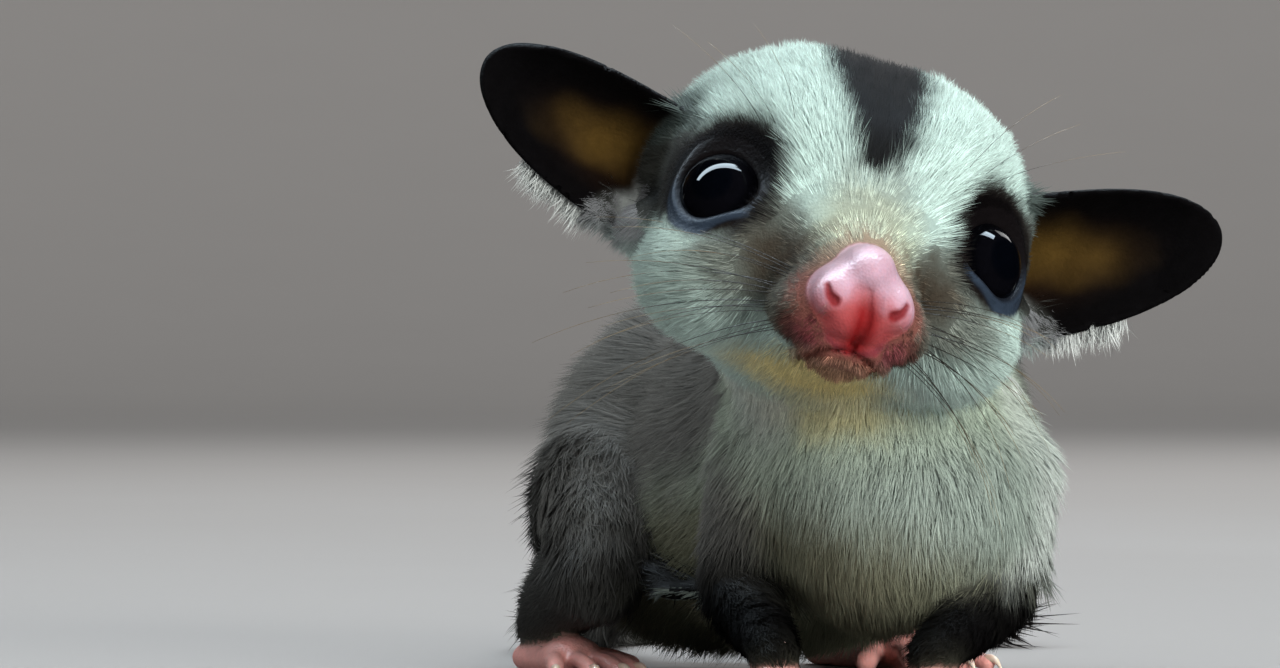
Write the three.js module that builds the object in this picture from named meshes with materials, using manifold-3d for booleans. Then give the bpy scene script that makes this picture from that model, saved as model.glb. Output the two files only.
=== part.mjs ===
// Sugar glider joey crouching on all fours with its head raised and tilted: a still, life-size model.
// Millimetres, +Z up, the face towards -Y and the animal's left side towards +X. It stands on z = 0.
import * as THREE from "three";
import { mergeVertices } from "three/addons/utils/BufferGeometryUtils.js";
import Module from "manifold-3d";

const wasm = await Module();
wasm.setup();
const { clamp, degToRad, lerp } = THREE.MathUtils;
const at = (x, y, z) => new THREE.Vector3(x, y, z);
const UP = at(0, 0, 1);
const SIDES = [
  ["left", 1],
  ["right", -1],
];

// Driving sizes
const GAP = 0.3; // kept between nodes that touch
const SINK = 0.3; // how far palms, soles and tail would reach below the floor before they are cut flat
const PAD_FLATNESS = 0.72; // a palm's or sole's thickness as a share of its width
const EYE_LINE_HEIGHT = 31;
const HEAD_TILT = degToRad(14.8); // the head leans to its left
const HEAD_TURN = degToRad(7.9); // and looks a little to its left
const CHEST_TURN = degToRad(4);
const HIP_TURN = degToRad(24); // the rump swings round to the animal's right
const EYE_RADIUS = 3.0;
const EAR_THICKNESS = 0.6;
const DIGIT_RADIUS = 0.62;
const CLAW_LENGTH = 1.4;

// Frames of the head, the shoulders and the hips, each with +X to the animal's left and -Y forwards
const frameAt = (place, turn, tilt = 0) =>
  new THREE.Matrix4()
    .makeTranslation(place)
    .multiply(new THREE.Matrix4().makeRotationY(tilt))
    .multiply(new THREE.Matrix4().makeRotationZ(turn));
const WORLD = new THREE.Matrix4();
const HEAD = frameAt(at(-3.5, -14.6, EYE_LINE_HEIGHT), HEAD_TURN, HEAD_TILT);
const SHOULDERS = frameAt(at(0.2, -6, 0), CHEST_TURN);
const HIPS = frameAt(at(-11, 27, 0), HIP_TURN);

// Forms: a form gives the distance from a point to its surface, negative inside
function ball(centre, radii) {
  return (p) => {
    const q = p.clone().sub(centre).divide(radii);
    const near = q.length();
    const slope = q.divide(radii).length();
    return slope < 1e-9 ? -radii.x : (near * (near - 1)) / slope;
  };
}

function cone(from, to, startRadius, endRadius) {
  const axis = to.clone().sub(from);
  return (p) => {
    const t = clamp(p.clone().sub(from).dot(axis) / axis.lengthSq(), 0, 1);
    const nearest = from.clone().addScaledVector(axis, t);
    return p.distanceTo(nearest) - lerp(startRadius, endRadius, t);
  };
}

const blend =
  (softness, ...forms) =>
  (p) =>
    forms
      .map((form) => form(p))
      .reduce((a, b) => {
        const h = Math.max(softness - Math.abs(a - b), 0);
        return Math.min(a, b) - (h * h) / (4 * softness);
      });

function hollowed(softness, form, hollow) {
  const both = blend(softness, (p) => -form(p), hollow);
  return (p) => -both(p);
}

const mirrored = (form) => (p) => form(at(Math.abs(p.x), p.y, p.z));

// The point where a ray last leaves a form, or its start where it never does
function leaves(form, from, direction, reach, grow = 0) {
  const step = 0.5;
  const on = (d) => from.clone().addScaledVector(direction, d);
  let inner = reach;
  while (inner > 0 && form(on(inner)) > grow) inner -= step;
  let outer = inner + step;
  for (let i = 0; i < 12; i++) {
    const middle = (inner + outer) / 2;
    if (form(on(middle)) > grow) outer = middle;
    else inner = middle;
  }
  return on(inner);
}

// Closed surface through equal rings of points, with a pole at each end
function lofted(startPole, rings, endPole) {
  const sides = rings[0].length;
  const points = [startPole, ...rings.flat(), endPole];
  const faces = [];
  const index = (ring, side) => 1 + ring * sides + (side % sides);
  for (let k = 0; k < sides; k++) {
    faces.push(0, index(0, k + 1), index(0, k));
    faces.push(points.length - 1, index(rings.length - 1, k), index(rings.length - 1, k + 1));
    for (let r = 0; r + 1 < rings.length; r++) {
      faces.push(index(r, k), index(r, k + 1), index(r + 1, k));
      faces.push(index(r, k + 1), index(r + 1, k + 1), index(r + 1, k));
    }
  }
  return new THREE.BufferGeometry().setFromPoints(points).setIndex(faces);
}

// Two directions square to a line, the second as near as can be to up
function acrossOf(tangent, up = UP) {
  const sideways = up.clone().cross(tangent).normalize();
  return [sideways, tangent.clone().cross(sideways)];
}

// A form's surface, sampled by rays that fan out all round from a spine inside it
function wrap(form, spine, { rings, sides, reach, caps = 0.3, grow = 0, up = UP }) {
  const path = new THREE.CatmullRomCurve3(spine);
  const ray = (t, polar, turn) => {
    const tangent = path.getTangent(t);
    const [sideways, upwards] = acrossOf(tangent, up);
    const direction = tangent
      .multiplyScalar(-Math.cos(polar))
      .addScaledVector(sideways, Math.sin(polar) * Math.sin(turn))
      .addScaledVector(upwards, Math.sin(polar) * Math.cos(turn));
    return leaves(form, path.getPoint(t), direction.normalize(), reach, grow);
  };
  const made = [];
  for (let r = 1; r < rings; r++) {
    const share = r / rings;
    const polar =
      (Math.PI / 2) * (Math.min(share / caps, 1) + Math.max((share - 1 + caps) / caps, 0));
    const t = clamp((share - caps) / (1 - 2 * caps), 0, 1);
    made.push(Array.from({ length: sides }, (_, k) => ray(t, polar, (2 * Math.PI * k) / sides)));
  }
  return lofted(ray(0, 0, 0), made, ray(1, Math.PI, 0));
}

// The radius a share of the way along a list of radii
function radiusOn(radii, t) {
  const place = t * (radii.length - 1);
  const k = Math.min(Math.floor(place), radii.length - 2);
  return lerp(radii[k], radii[k + 1], place - k);
}

// A round or flattened tube through a few points, with a radius at each and a pole at each end
function tube(points, radii, { sides, rings, flat = 1, grow = 0 }) {
  const path = new THREE.CatmullRomCurve3(points);
  const radiusAt = (t) => radiusOn(radii, t) + grow;
  const made = [];
  for (let r = 0; r <= rings; r++) {
    const t = r / rings;
    const [sideways, upwards] = acrossOf(path.getTangent(t));
    const radius = radiusAt(t) * (r === 0 || r === rings ? 0.72 : 1);
    made.push(
      Array.from({ length: sides }, (_, k) => {
        const turn = (2 * Math.PI * k) / sides;
        return path
          .getPoint(t)
          .addScaledVector(sideways, radius * Math.sin(turn))
          .addScaledVector(upwards, radius * flat * Math.cos(turn));
      }),
    );
  }
  const pole = (t, sign) =>
    path.getPoint(t).addScaledVector(path.getTangent(t), sign * radiusAt(t) * 0.7);
  return lofted(pole(0, -1), made, pole(1, 1));
}

// A thin curved plate: outer(u, v) is its face, its back lies a thickness behind, and both split alike
function plate(outer, thickness, across, along) {
  const step = 1e-3;
  const faceAt = (u, v) => outer(u, v);
  const backAt = (u, v) => {
    const du = faceAt(u + step, v).sub(faceAt(u - step, v));
    const dv = faceAt(u, v + step).sub(faceAt(u, v - step));
    return faceAt(u, v).addScaledVector(du.cross(dv).normalize(), -thickness(u, v));
  };
  const points = [];
  for (const surface of [faceAt, backAt])
    for (let i = 0; i <= along; i++)
      for (let j = 0; j <= across; j++) points.push(surface(i / along, j / across));
  const index = (back, i, j) => back * (along + 1) * (across + 1) + i * (across + 1) + j;
  const faces = [];
  const quad = (a, b, c, d) => faces.push(a, b, c, a, c, d);
  for (let i = 0; i < along; i++) {
    for (let j = 0; j < across; j++) {
      const corners = (back) => [
        index(back, i, j),
        index(back, i + 1, j),
        index(back, i + 1, j + 1),
        index(back, i, j + 1),
      ];
      const [a, b, c, d] = corners(0);
      const [e, f, g, h] = corners(1);
      quad(a, b, c, d);
      faces.push(e, g, f, e, h, g);
    }
    quad(index(1, i, 0), index(1, i + 1, 0), index(0, i + 1, 0), index(0, i, 0));
    quad(index(0, i, across), index(0, i + 1, across), index(1, i + 1, across), index(1, i, across));
  }
  for (let j = 0; j < across; j++) {
    quad(index(0, 0, j), index(0, 0, j + 1), index(1, 0, j + 1), index(1, 0, j));
    quad(index(1, along, j), index(1, along, j + 1), index(0, along, j + 1), index(0, along, j));
  }
  return new THREE.BufferGeometry().setFromPoints(points).setIndex(faces);
}

// Solids: a geometry placed in the model as a manifold body that faces out
function solidOf(geometry, frame = WORLD) {
  const bare = new THREE.BufferGeometry();
  bare.setAttribute("position", geometry.getAttribute("position").clone());
  if (geometry.index) bare.setIndex(geometry.index.clone());
  const merged = mergeVertices(bare.applyMatrix4(frame), 1e-4);
  const triVerts = new Uint32Array(merged.index.array);
  const bodyOf = () =>
    new wasm.Manifold(
      new wasm.Mesh({ numProp: 3, vertProperties: merged.attributes.position.array, triVerts }),
    );
  const body = bodyOf();
  if (body.volume() > 0) return body;
  for (let i = 0; i < triVerts.length; i += 3)
    [triVerts[i + 1], triVerts[i + 2]] = [triVerts[i + 2], triVerts[i + 1]];
  return bodyOf();
}

const joined = (solids) => solids.reduce((a, b) => a.add(b));
const without = (solid, ...cutters) => cutters.reduce((a, b) => a.subtract(b), solid);
const largest = (solid) =>
  solid.decompose().reduce((a, b) => (b.volume() > a.volume() ? b : a));

// What lies below the floor, to cut the model flat where it rests
const FLOOR_WIDTH = 400;
const FLOOR_DEPTH = 60;
const floor = solidOf(
  new THREE.BoxGeometry(FLOOR_WIDTH, FLOOR_WIDTH, FLOOR_DEPTH).translate(0, 0, -FLOOR_DEPTH / 2),
);

// Materials
const finish = (colour, roughness) =>
  new THREE.MeshStandardMaterial({ color: colour, roughness, metalness: 0 });
const paleCoat = finish(0xc3d8cc, 0.9);
const greyCoat = finish(0x7d8283, 0.9);
const darkCoat = finish(0x35322f, 0.9);
const pinkSkin = finish(0xdc9c98, 0.45);
const earSkin = finish(0x231c17, 0.6);
const eyeGloss = finish(0x06070a, 0.05);

const glider = new THREE.Group();
function addNode(name, solid, material) {
  const { vertProperties, triVerts } = largest(solid).getMesh();
  const geometry = new THREE.BufferGeometry()
    .setAttribute("position", new THREE.BufferAttribute(vertProperties, 3))
    .setIndex(new THREE.BufferAttribute(triVerts, 1));
  const mesh = new THREE.Mesh(geometry, material);
  mesh.name = name;
  glider.add(mesh);
}

// Head, in its own frame: the eye line is at z = 0
const GAZE = at(0.539, -0.77, 0.342);
const EYE = at(8.4, -4.65, -0.4);
const LID_FORWARD = 1.75; // the lids' ring lies this far out along the gaze
const skull = blend(
  3,
  ball(at(0, 2.8, -0.1), at(12.6, 12, 11.1)),
  ball(at(3.8, 2.6, 0.5), at(9, 11.4, 10.2)),
  ball(at(4.1, -4.2, 1.2), at(5.2, 5.4, 6.3)),
  ball(at(0, -4.4, 0.8), at(6.8, 6.2, 6.6)),
);
const face = blend(
  2.2,
  skull,
  ball(at(7.4, -2.6, -5), at(5.6, 7.2, 5.2)),
  cone(at(0, -6, -2.6), at(0, -13.4, -4.7), 6.6, 3.2),
  ball(at(2.6, -12.2, -6), at(2.9, 3.3, 2.4)),
  cone(at(0, -2, -6), at(0, -12, -8.1), 5.2, 2),
);
const DISH_RADIUS = 4.6;
const eyeDish = ball(
  EYE.clone().addScaledVector(GAZE, LID_FORWARD + 0.1 + DISH_RADIUS),
  at(DISH_RADIUS, DISH_RADIUS, DISH_RADIUS),
);
const headForm = mirrored(hollowed(1.4, face, eyeDish));
const noseForm = mirrored(
  blend(
    1.1,
    ball(at(0, -14.6, -2.7), at(1.9, 2.8, 1.8)),
    ball(at(1.75, -15.2, -4.6), at(1.55, 2.1, 1.9)),
    ball(at(0.5, -15.2, -6), at(1.4, 1.8, 1.4)),
  ),
);

const HEAD_SPINE = [at(0, -10.6, -4), at(0, -4, -2.4), at(0, 5, -0.5)];
const headWrap = (grow) =>
  solidOf(wrap(headForm, HEAD_SPINE, { rings: 27, sides: 24, reach: 20, grow }), HEAD);
const noseWrap = (grow) =>
  solidOf(
    wrap(noseForm, [at(0, -13.6, -4.5), at(0, -14.8, -4.5)], { rings: 10, sides: 16, reach: 6, grow }),
    HEAD,
  );

// The mouth line and the lips run back along the muzzle from under the nose
const MOUTH = [
  at(5.4, -8.6, -8.6),
  at(4.5, -11.2, -8.9),
  at(2.9, -13.6, -8.5),
  at(1.2, -15.2, -7.9),
  at(0, -15.6, -7.7),
];
function lipLine(rise, radius) {
  const half = MOUTH.map((p) => {
    const outwards = at(p.x, p.y + 6, 0).normalize();
    const start = at(0, -6, p.z + rise);
    return leaves(headForm, start, outwards, 14);
  });
  const other = half.slice(0, -1).reverse();
  const whole = [...half, ...other.map((p) => at(-p.x, p.y, p.z))];
  return solidOf(tube(whole, whole.map(() => radius), { sides: 5, rings: 14 }), HEAD);
}

const eyeBall = (sign, grow = 0) =>
  solidOf(
    new THREE.SphereGeometry(EYE_RADIUS + grow, 16, 10).translate(sign * EYE.x, EYE.y, EYE.z),
    HEAD,
  );

function eyelid(sign) {
  const gaze = at(sign * GAZE.x, GAZE.y, GAZE.z);
  const turn = new THREE.Quaternion().setFromUnitVectors(UP, gaze);
  const centre = at(sign * EYE.x, EYE.y, EYE.z).addScaledVector(gaze, LID_FORWARD);
  const ring = new THREE.TorusGeometry(EYE_RADIUS - 0.35, 0.55, 6, 18)
    .applyQuaternion(turn)
    .translate(...centre.toArray());
  return solidOf(ring, HEAD);
}

function nostril(sign) {
  const path = [at(sign * 1.9, -15, -5), at(sign * 2.3, -16.8, -4.9), at(sign * 3.3, -17.6, -4.7)];
  return solidOf(tube(path, [0.4, 0.45, 0.4], { sides: 6, rings: 3 }), HEAD);
}

const philtrum = solidOf(
  tube([at(0, -17.6, -3.6), at(0, -17.3, -5), at(0, -16.6, -7.6)], [0.1, 0.35, 0.45], {
    sides: 6,
    rings: 5,
  }),
  HEAD,
);

// Ears: a cupped leaf that opens forwards, from its root at u = 0 to its tip at u = 1
const EAR_ROOT = 11.4;
const EAR_REACH = 13.6;
const EAR_HALF_HEIGHT = 4.75;
const EAR_POSE = {
  left: { raise: degToRad(6), size: 1.05 },
  right: { raise: 0, size: 1 },
};
function earSolid(side, sign, grow = 0) {
  const { raise, size } = EAR_POSE[side];
  const shape = (u, v) => {
    const along = clamp(1 - (1 - clamp(u, 0, 1)) ** 1.5, 0, 0.999);
    const across = 2 * v - 1;
    const half = EAR_HALF_HEIGHT * size * Math.sqrt(1 - along ** 2.7);
    const cup = (4.2 * (1 - along) + 0.9) * (1 - across ** 2);
    const reach = EAR_REACH * size * (along + 0.01 * (u - 1));
    const height = -0.1 + 4 * along + across * half;
    const x = EAR_ROOT + reach * Math.cos(raise) - height * Math.sin(raise);
    const z = height * Math.cos(raise) + reach * Math.sin(raise);
    return at(sign * x, 0.6 + cup + 1.2 * along - 0.6 * across, z);
  };
  const thick = EAR_THICKNESS + 2 * grow;
  const lifted = plate(shape, () => sign * thick, 8, 8);
  return solidOf(lifted.translate(0, -grow, 0), HEAD);
}

// White tufts stand out from behind the root of each ear
const TUFTS = 5;
function earTufts(side, sign) {
  const locks = Array.from({ length: TUFTS }, (_, k) => {
    const share = k / (TUFTS - 1);
    const start = at(0, lerp(5.5, 4, share), lerp(-0.5, -6, share));
    const root = leaves(headForm, start, at(1, 0.1, 0).normalize(), 20);
    const along = at(1, spread(0.16, 0.3), lerp(0.04, -0.42, share) + spread(0, 0.12)).normalize();
    const out = at(0, 1, 0).addScaledVector(along, -along.y).normalize();
    root.addScaledVector(along, -1.2);
    const piece = lock({
      root,
      along,
      out,
      length: lerp(10.8, 6.2, share) + spread(0, 1.4),
      width: spread(3.2, 0.8),
      thickness: 0.9,
      lift: 0.5,
    });
    return solidOf(piece.scale(sign, 1, 1), HEAD);
  });
  return without(joined(locks), earSolid(side, sign, GAP), neckWrap(GAP), torsoWrap(GAP));
}

// Locks: flat tapered strips that leave the skin along their root direction and bend over to lie back
function lock({ root, along, out, length, width, thickness, lift, floorGap = 0 }) {
  const sideways = along.clone().cross(out).normalize();
  const stations = [
    [0, 0.75, 1],
    [0.5, 1, 0.85],
  ];
  const middle = (t) =>
    root
      .clone()
      .addScaledVector(along, t * length)
      .addScaledVector(out, lift * Math.sin(Math.PI * Math.min(t, 0.8)));
  const rings = stations.map(([t, wide, thick]) => {
    const corner = (side, over) =>
      middle(t)
        .addScaledVector(sideways, (side * wide * width) / 2)
        .addScaledVector(out, (over * thick * thickness) / 2);
    const ring = [corner(0, 1), corner(1, 0), corner(0, -1), corner(-1, 0)];
    const low = Math.min(...ring.map((p) => p.z));
    if (floorGap > 0) ring.forEach((p) => (p.z += Math.max(floorGap - low, 0)));
    return ring;
  });
  const tip = middle(1);
  if (floorGap > 0) tip.z = Math.max(tip.z, 2 * floorGap);
  return lofted(middle(-0.02), rings, tip);
}

let seed = 7;
function random() {
  seed = (seed * 16807) % 2147483647;
  return seed / 2147483647;
}
const spread = (middle, range) => middle + (random() - 0.5) * range;

// Trunk: the torso, and the neck that carries the head
const torsoForm = blend(
  5,
  ball(at(0.3, -5.8, 14.6), at(10, 10.4, 11.4)),
  ball(at(-1, 4, 17), at(11.2, 11, 12)),
  ball(at(-4.8, 15, 15), at(12.2, 13, 13.6)),
  ball(at(-11, 27.5, 14.2), at(12.4, 12.4, 13.4)),
);
const TORSO_SPINE = [at(0.3, -6, 14), at(-1.6, 5, 16), at(-5.5, 16, 15), at(-10.5, 26, 14)];
const torsoWrap = (grow) =>
  solidOf(wrap(torsoForm, TORSO_SPINE, { rings: 20, sides: 18, reach: 26, caps: 0.28, grow }));
const neckForm = cone(at(-1.6, -2.5, 20), at(-3.4, -9, 27), 9.6, 9);
const neckWrap = (grow) =>
  solidOf(
    wrap(neckForm, [at(-1.6, -2.5, 20), at(-3.4, -9, 27)], { rings: 10, sides: 16, reach: 14, grow }),
  );

// Legs: each is a line of joints from the trunk to the wrist or ankle, and a radius at each
const foreleg = {
  left: { joints: [at(6.6, 1.5, 14.5), at(6.9, -0.5, 7.6), at(1.6, -9.6, 3.3)], heading: -8 },
  right: { joints: [at(-7.4, 1.5, 14.5), at(-9.4, 4.2, 7.6), at(-8.3, -6.2, 3.1)], heading: 6 },
};
const FORELEG_RADII = [4.8, 3.3, 1.75];
const forelegTube = (side, grow) =>
  solidOf(
    tube(foreleg[side].joints, FORELEG_RADII, { sides: 10, rings: 7, grow }),
    SHOULDERS,
  );

const thighForm = (sign) =>
  blend(
    3,
    ball(at(sign * 9.4, -1.5, 11.6), at(5.4, 7.8, 7.4)),
    ball(at(sign * 12, -6.6, 9.4), at(4.2, 5, 5)),
  );
const thighWrap = (sign, grow) =>
  solidOf(
    wrap(thighForm(sign), [at(sign * 9.6, 1, 12), at(sign * 12, -6.5, 9.6)], {
      rings: 12,
      sides: 14,
      reach: 14,
      grow,
    }),
    HIPS,
  );
const shankTube = (sign, grow) =>
  solidOf(
    tube(
      [at(sign * 13, -8.6, 7.4), at(sign * 12.7, -1.5, 5.2), at(sign * 11.6, 4.6, 3.2)],
      [3.8, 3.2, 2.1],
      { sides: 10, rings: 6, grow },
    ),
    HIPS,
  );
const hindlegWhole = (sign, grow) => thighWrap(sign, grow).add(shankTube(sign, grow));

// Hands and feet: a pad that lies on the floor, toes that fan out from its front and a claw on each
const padHeight = (radius) => radius * PAD_FLATNESS - SINK;
function digit(base, heading, length, radius) {
  const forward = at(Math.sin(heading), -Math.cos(heading), 0);
  const on = (share, z) => base.clone().addScaledVector(forward, share * length).setZ(z);
  const toe = tube([on(0, 1.3), on(0.5, 1.35), on(1, 0.62)], [radius, radius, radius * 0.9], {
    sides: 5,
    rings: 2,
  });
  const tip = base.clone().addScaledVector(forward, length + CLAW_LENGTH).setZ(0.25);
  const claw = tube([on(0.94, 0.75), on(1.12, 0.7), tip], [0.42, 0.36, 0.09], {
    sides: 4,
    rings: 2,
  });
  return [toe, claw];
}

function handSolid(side, sign) {
  const wrist = foreleg[side].joints[2];
  const heading = degToRad(foreleg[side].heading);
  const ahead = (distance, across, z) =>
    wrist
      .clone()
      .add(at(Math.sin(heading), -Math.cos(heading), 0).multiplyScalar(distance))
      .add(at(Math.cos(heading), Math.sin(heading), 0).multiplyScalar(across))
      .setZ(z);
  const palm = tube(
    [ahead(-0.6, 0, 2.3), ahead(1.2, 0, padHeight(1.9)), ahead(3.2, 0, padHeight(1.8))],
    [1.4, 1.9, 1.8],
    { sides: 8, rings: 3, flat: PAD_FLATNESS },
  );
  const fan = [-2, -1, 0, 1, 2].flatMap((k) => {
    const knuckle = ahead(2.6 - 0.28 * k * k, 0.75 * k, 1.3);
    return digit(knuckle, heading + 0.27 * k, 4.7 - 0.35 * k * k, DIGIT_RADIUS);
  });
  const hand = joined([palm, ...fan].map((piece) => solidOf(piece, SHOULDERS)));
  return without(hand, forelegTube(side, GAP));
}

// The hind foot is long, with the second and third toes bound together and a clawless first toe
function footSolid(sign) {
  const sole = tube(
    [
      at(sign * 11.5, 6, padHeight(1.7)),
      at(sign * 12.3, 0, padHeight(1.85)),
      at(sign * 13.1, -4.6, padHeight(2.25)),
    ],
    [1.7, 1.85, 2.25],
    { sides: 8, rings: 5, flat: PAD_FLATNESS },
  );
  const toes = [
    [-1.3, 0.25, 5.0],
    [-0.6, 0.12, 5.0],
    [0.5, -0.12, 5.6],
    [1.6, -0.38, 5.2],
  ].flatMap(([across, turn, length]) => {
    const knuckle = at(sign * (13.1 + across), -5.4 + 0.3 * Math.abs(across), 1.3);
    return digit(knuckle, -turn * sign, length, DIGIT_RADIUS);
  });
  const bigToe = tube(
    [at(sign * 12, -2.2, 1.3), at(sign * 10.4, -3.9, 1.3), at(sign * 9.2, -5.4, 0.8)],
    [0.85, 0.85, 0.8],
    { sides: 8, rings: 4 },
  );
  const foot = joined([sole, ...toes, bigToe].map((piece) => solidOf(piece, HIPS)));
  return without(foot, shankTube(sign, GAP));
}

// Gliding membrane: the fold of skin that hangs along each flank from elbow to knee
function membraneSolid(side, sign) {
  const elbow = foreleg[side].joints[1].clone().applyMatrix4(SHOULDERS);
  const knee = at(sign * 13, -8.8, 8).applyMatrix4(HIPS);
  const outwards = knee.clone().sub(elbow).setZ(0).cross(UP).multiplyScalar(sign).normalize();
  const POINTS = 8;
  const path = Array.from({ length: POINTS }, (_, k) => {
    const t = k / (POINTS - 1);
    const height = 8.4 - 2 * Math.sin(Math.PI * t) + 0.5 * Math.sin(5 * Math.PI * t);
    const middle = elbow.clone().lerp(knee, t).setZ(height).addScaledVector(outwards, -12);
    const ripple = 0.35 * Math.sin(4 * Math.PI * t);
    return leaves(torsoForm, middle, outwards, 24).addScaledVector(outwards, 0.3 + ripple);
  });
  return solidOf(tube(path, [2.2, 2.8, 3, 2.8, 2.2], { sides: 8, rings: 14, flat: 0.34 }));
}

// Tail: it leaves the rump, comes down to the floor and curls forwards behind the body
const TAIL = [
  at(-14.5, 33.5, 10.5),
  at(-18.2, 42, 6),
  at(-21, 52, 3),
  at(-20, 63, 2.35),
  at(-13.5, 72, 2.2),
  at(-3.5, 76.5, 2.1),
  at(5.5, 73.5, 1.9),
  at(9.5, 66, 1.7),
];
const TAIL_RADII = [4.4, 3.4, 2.8, 2.6, 2.4, 2.1, 1.6, 0.8];
const TAIL_CUTS = [0.36, 0.68]; // the joints between its three lengths, as shares of the path
const TAIL_REACH = 7; // further out from its core than the tail's hair ends
const tailPath = new THREE.CatmullRomCurve3(TAIL);
function tailCut(share) {
  const turn = new THREE.Quaternion().setFromUnitVectors(UP, tailPath.getTangent(share));
  return solidOf(
    new THREE.CylinderGeometry(TAIL_REACH, TAIL_REACH, GAP, 16)
      .rotateX(Math.PI / 2)
      .applyQuaternion(turn)
      .translate(...tailPath.getPoint(share).toArray()),
  );
}
function fromTailRoot(solid) {
  const { min, max } = solid.boundingBox();
  return at(...min).add(at(...max)).multiplyScalar(0.5).distanceTo(TAIL[0]);
}

// The tail's hair: rings of locks that lie back along it, none below, where it rests on the floor
const TAIL_RINGS = 10;
const LOCKS_PER_RING = 4;
function tailLocks() {
  const pieces = [];
  const addLock = (t, turn, splay, length) => {
    const along = tailPath.getTangentAt(t);
    const [sideways, upwards] = acrossOf(along);
    const radial = sideways.multiplyScalar(Math.sin(turn)).addScaledVector(upwards, Math.cos(turn));
    const radius = radiusOn(TAIL_RADII, tailPath.getUtoTmapping(t));
    const direction = along.clone().multiplyScalar(Math.cos(splay));
    direction.addScaledVector(radial, Math.sin(splay));
    const out = radial.addScaledVector(direction, -radial.dot(direction)).normalize();
    const root = tailPath.getPointAt(t).addScaledVector(out, radius - 0.7);
    pieces.push(
      lock({
        root,
        along: direction,
        out,
        length,
        width: spread(5.2, 0.8),
        thickness: 1.1,
        lift: 1.1,
        floorGap: 0.15,
      }),
    );
  };
  for (let ring = 0; ring < TAIL_RINGS; ring++) {
    const t = lerp(0.14, 0.93, ring / (TAIL_RINGS - 1));
    for (let k = 0; k < LOCKS_PER_RING; k++) {
      const place = (k + (ring % 2 ? 0.25 : -0.25)) / (LOCKS_PER_RING - 1) - 0.5;
      addLock(t, degToRad(spread(205 * place, 12)), spread(0.19, 0.08), spread(10.5, 1.6));
    }
  }
  for (let k = 0; k < 3; k++) addLock(0.98, degToRad(spread(-80 + 80 * k, 16)), 0.1, spread(8.5, 1.5));
  return pieces.map((piece) => solidOf(piece));
}

// Assembly
const torsoGrown = torsoWrap(GAP);
const neckGrown = neckWrap(GAP);
const headGrown = headWrap(GAP);

const head = joined([
  headWrap(0),
  ...SIDES.map(([, sign]) => eyelid(sign)),
  ...SIDES.map(([side, sign]) => earTufts(side, sign)),
  lipLine(0.55, 0.5),
  lipLine(-0.6, 0.45),
]);
addNode(
  "head",
  without(
    head,
    noseWrap(GAP),
    lipLine(0, 0.28),
    ...SIDES.map(([, sign]) => eyeBall(sign, GAP)),
  ),
  paleCoat,
);
addNode("nose", without(noseWrap(0), philtrum, ...SIDES.map(([, sign]) => nostril(sign))), pinkSkin);
addNode("neck", without(neckWrap(0), headGrown), greyCoat);

const legsGrown = [];
for (const [side, sign] of SIDES) {
  addNode(`eye_${side}`, eyeBall(sign), eyeGloss);
  addNode(`ear_${side}`, without(earSolid(side, sign), headGrown), earSkin);
  legsGrown.push(forelegTube(side, GAP), hindlegWhole(sign, GAP));
  addNode(
    `foreleg_${side}`,
    without(forelegTube(side, 0), neckGrown, headGrown, floor),
    darkCoat,
  );
  addNode(`hand_${side}`, without(handSolid(side, sign), floor), pinkSkin);
  addNode(`hindleg_${side}`, without(hindlegWhole(sign, 0), floor), greyCoat);
  addNode(`foot_${side}`, without(footSolid(sign), floor), pinkSkin);
}
addNode("torso", without(torsoWrap(0), headGrown, neckGrown, ...legsGrown, floor), greyCoat);
for (const [side, sign] of SIDES) {
  addNode(
    `gliding_membrane_${side}`,
    without(membraneSolid(side, sign), torsoGrown, ...legsGrown),
    darkCoat,
  );
}
const tail = without(
  joined([solidOf(tube(TAIL, TAIL_RADII, { sides: 9, rings: 22 })), ...tailLocks()]),
  ...TAIL_CUTS.map(tailCut),
  torsoGrown,
  ...legsGrown,
  floor,
);
const tailLengths = tail
  .decompose()
  .sort((a, b) => b.volume() - a.volume())
  .slice(0, TAIL_CUTS.length + 1)
  .sort((a, b) => fromTailRoot(a) - fromTailRoot(b));
["tail_base", "tail_middle", "tail_end"].forEach((name, k) =>
  addNode(name, tailLengths[k], k < 2 ? greyCoat : darkCoat),
);

// The origin is under the middle of the whole animal
const whole = new THREE.Box3().setFromObject(glider).getCenter(at(0, 0, 0));
glider.position.set(-whole.x, -whole.y, 0);

export default glider;
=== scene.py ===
# The looks of a sugar glider joey: one skin, its eyes, claws, coat and whiskers, and the studio.
# Shapes are worked out in millimetres in the animal's own frame, as the solids were, and then become metres.
import math

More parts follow.
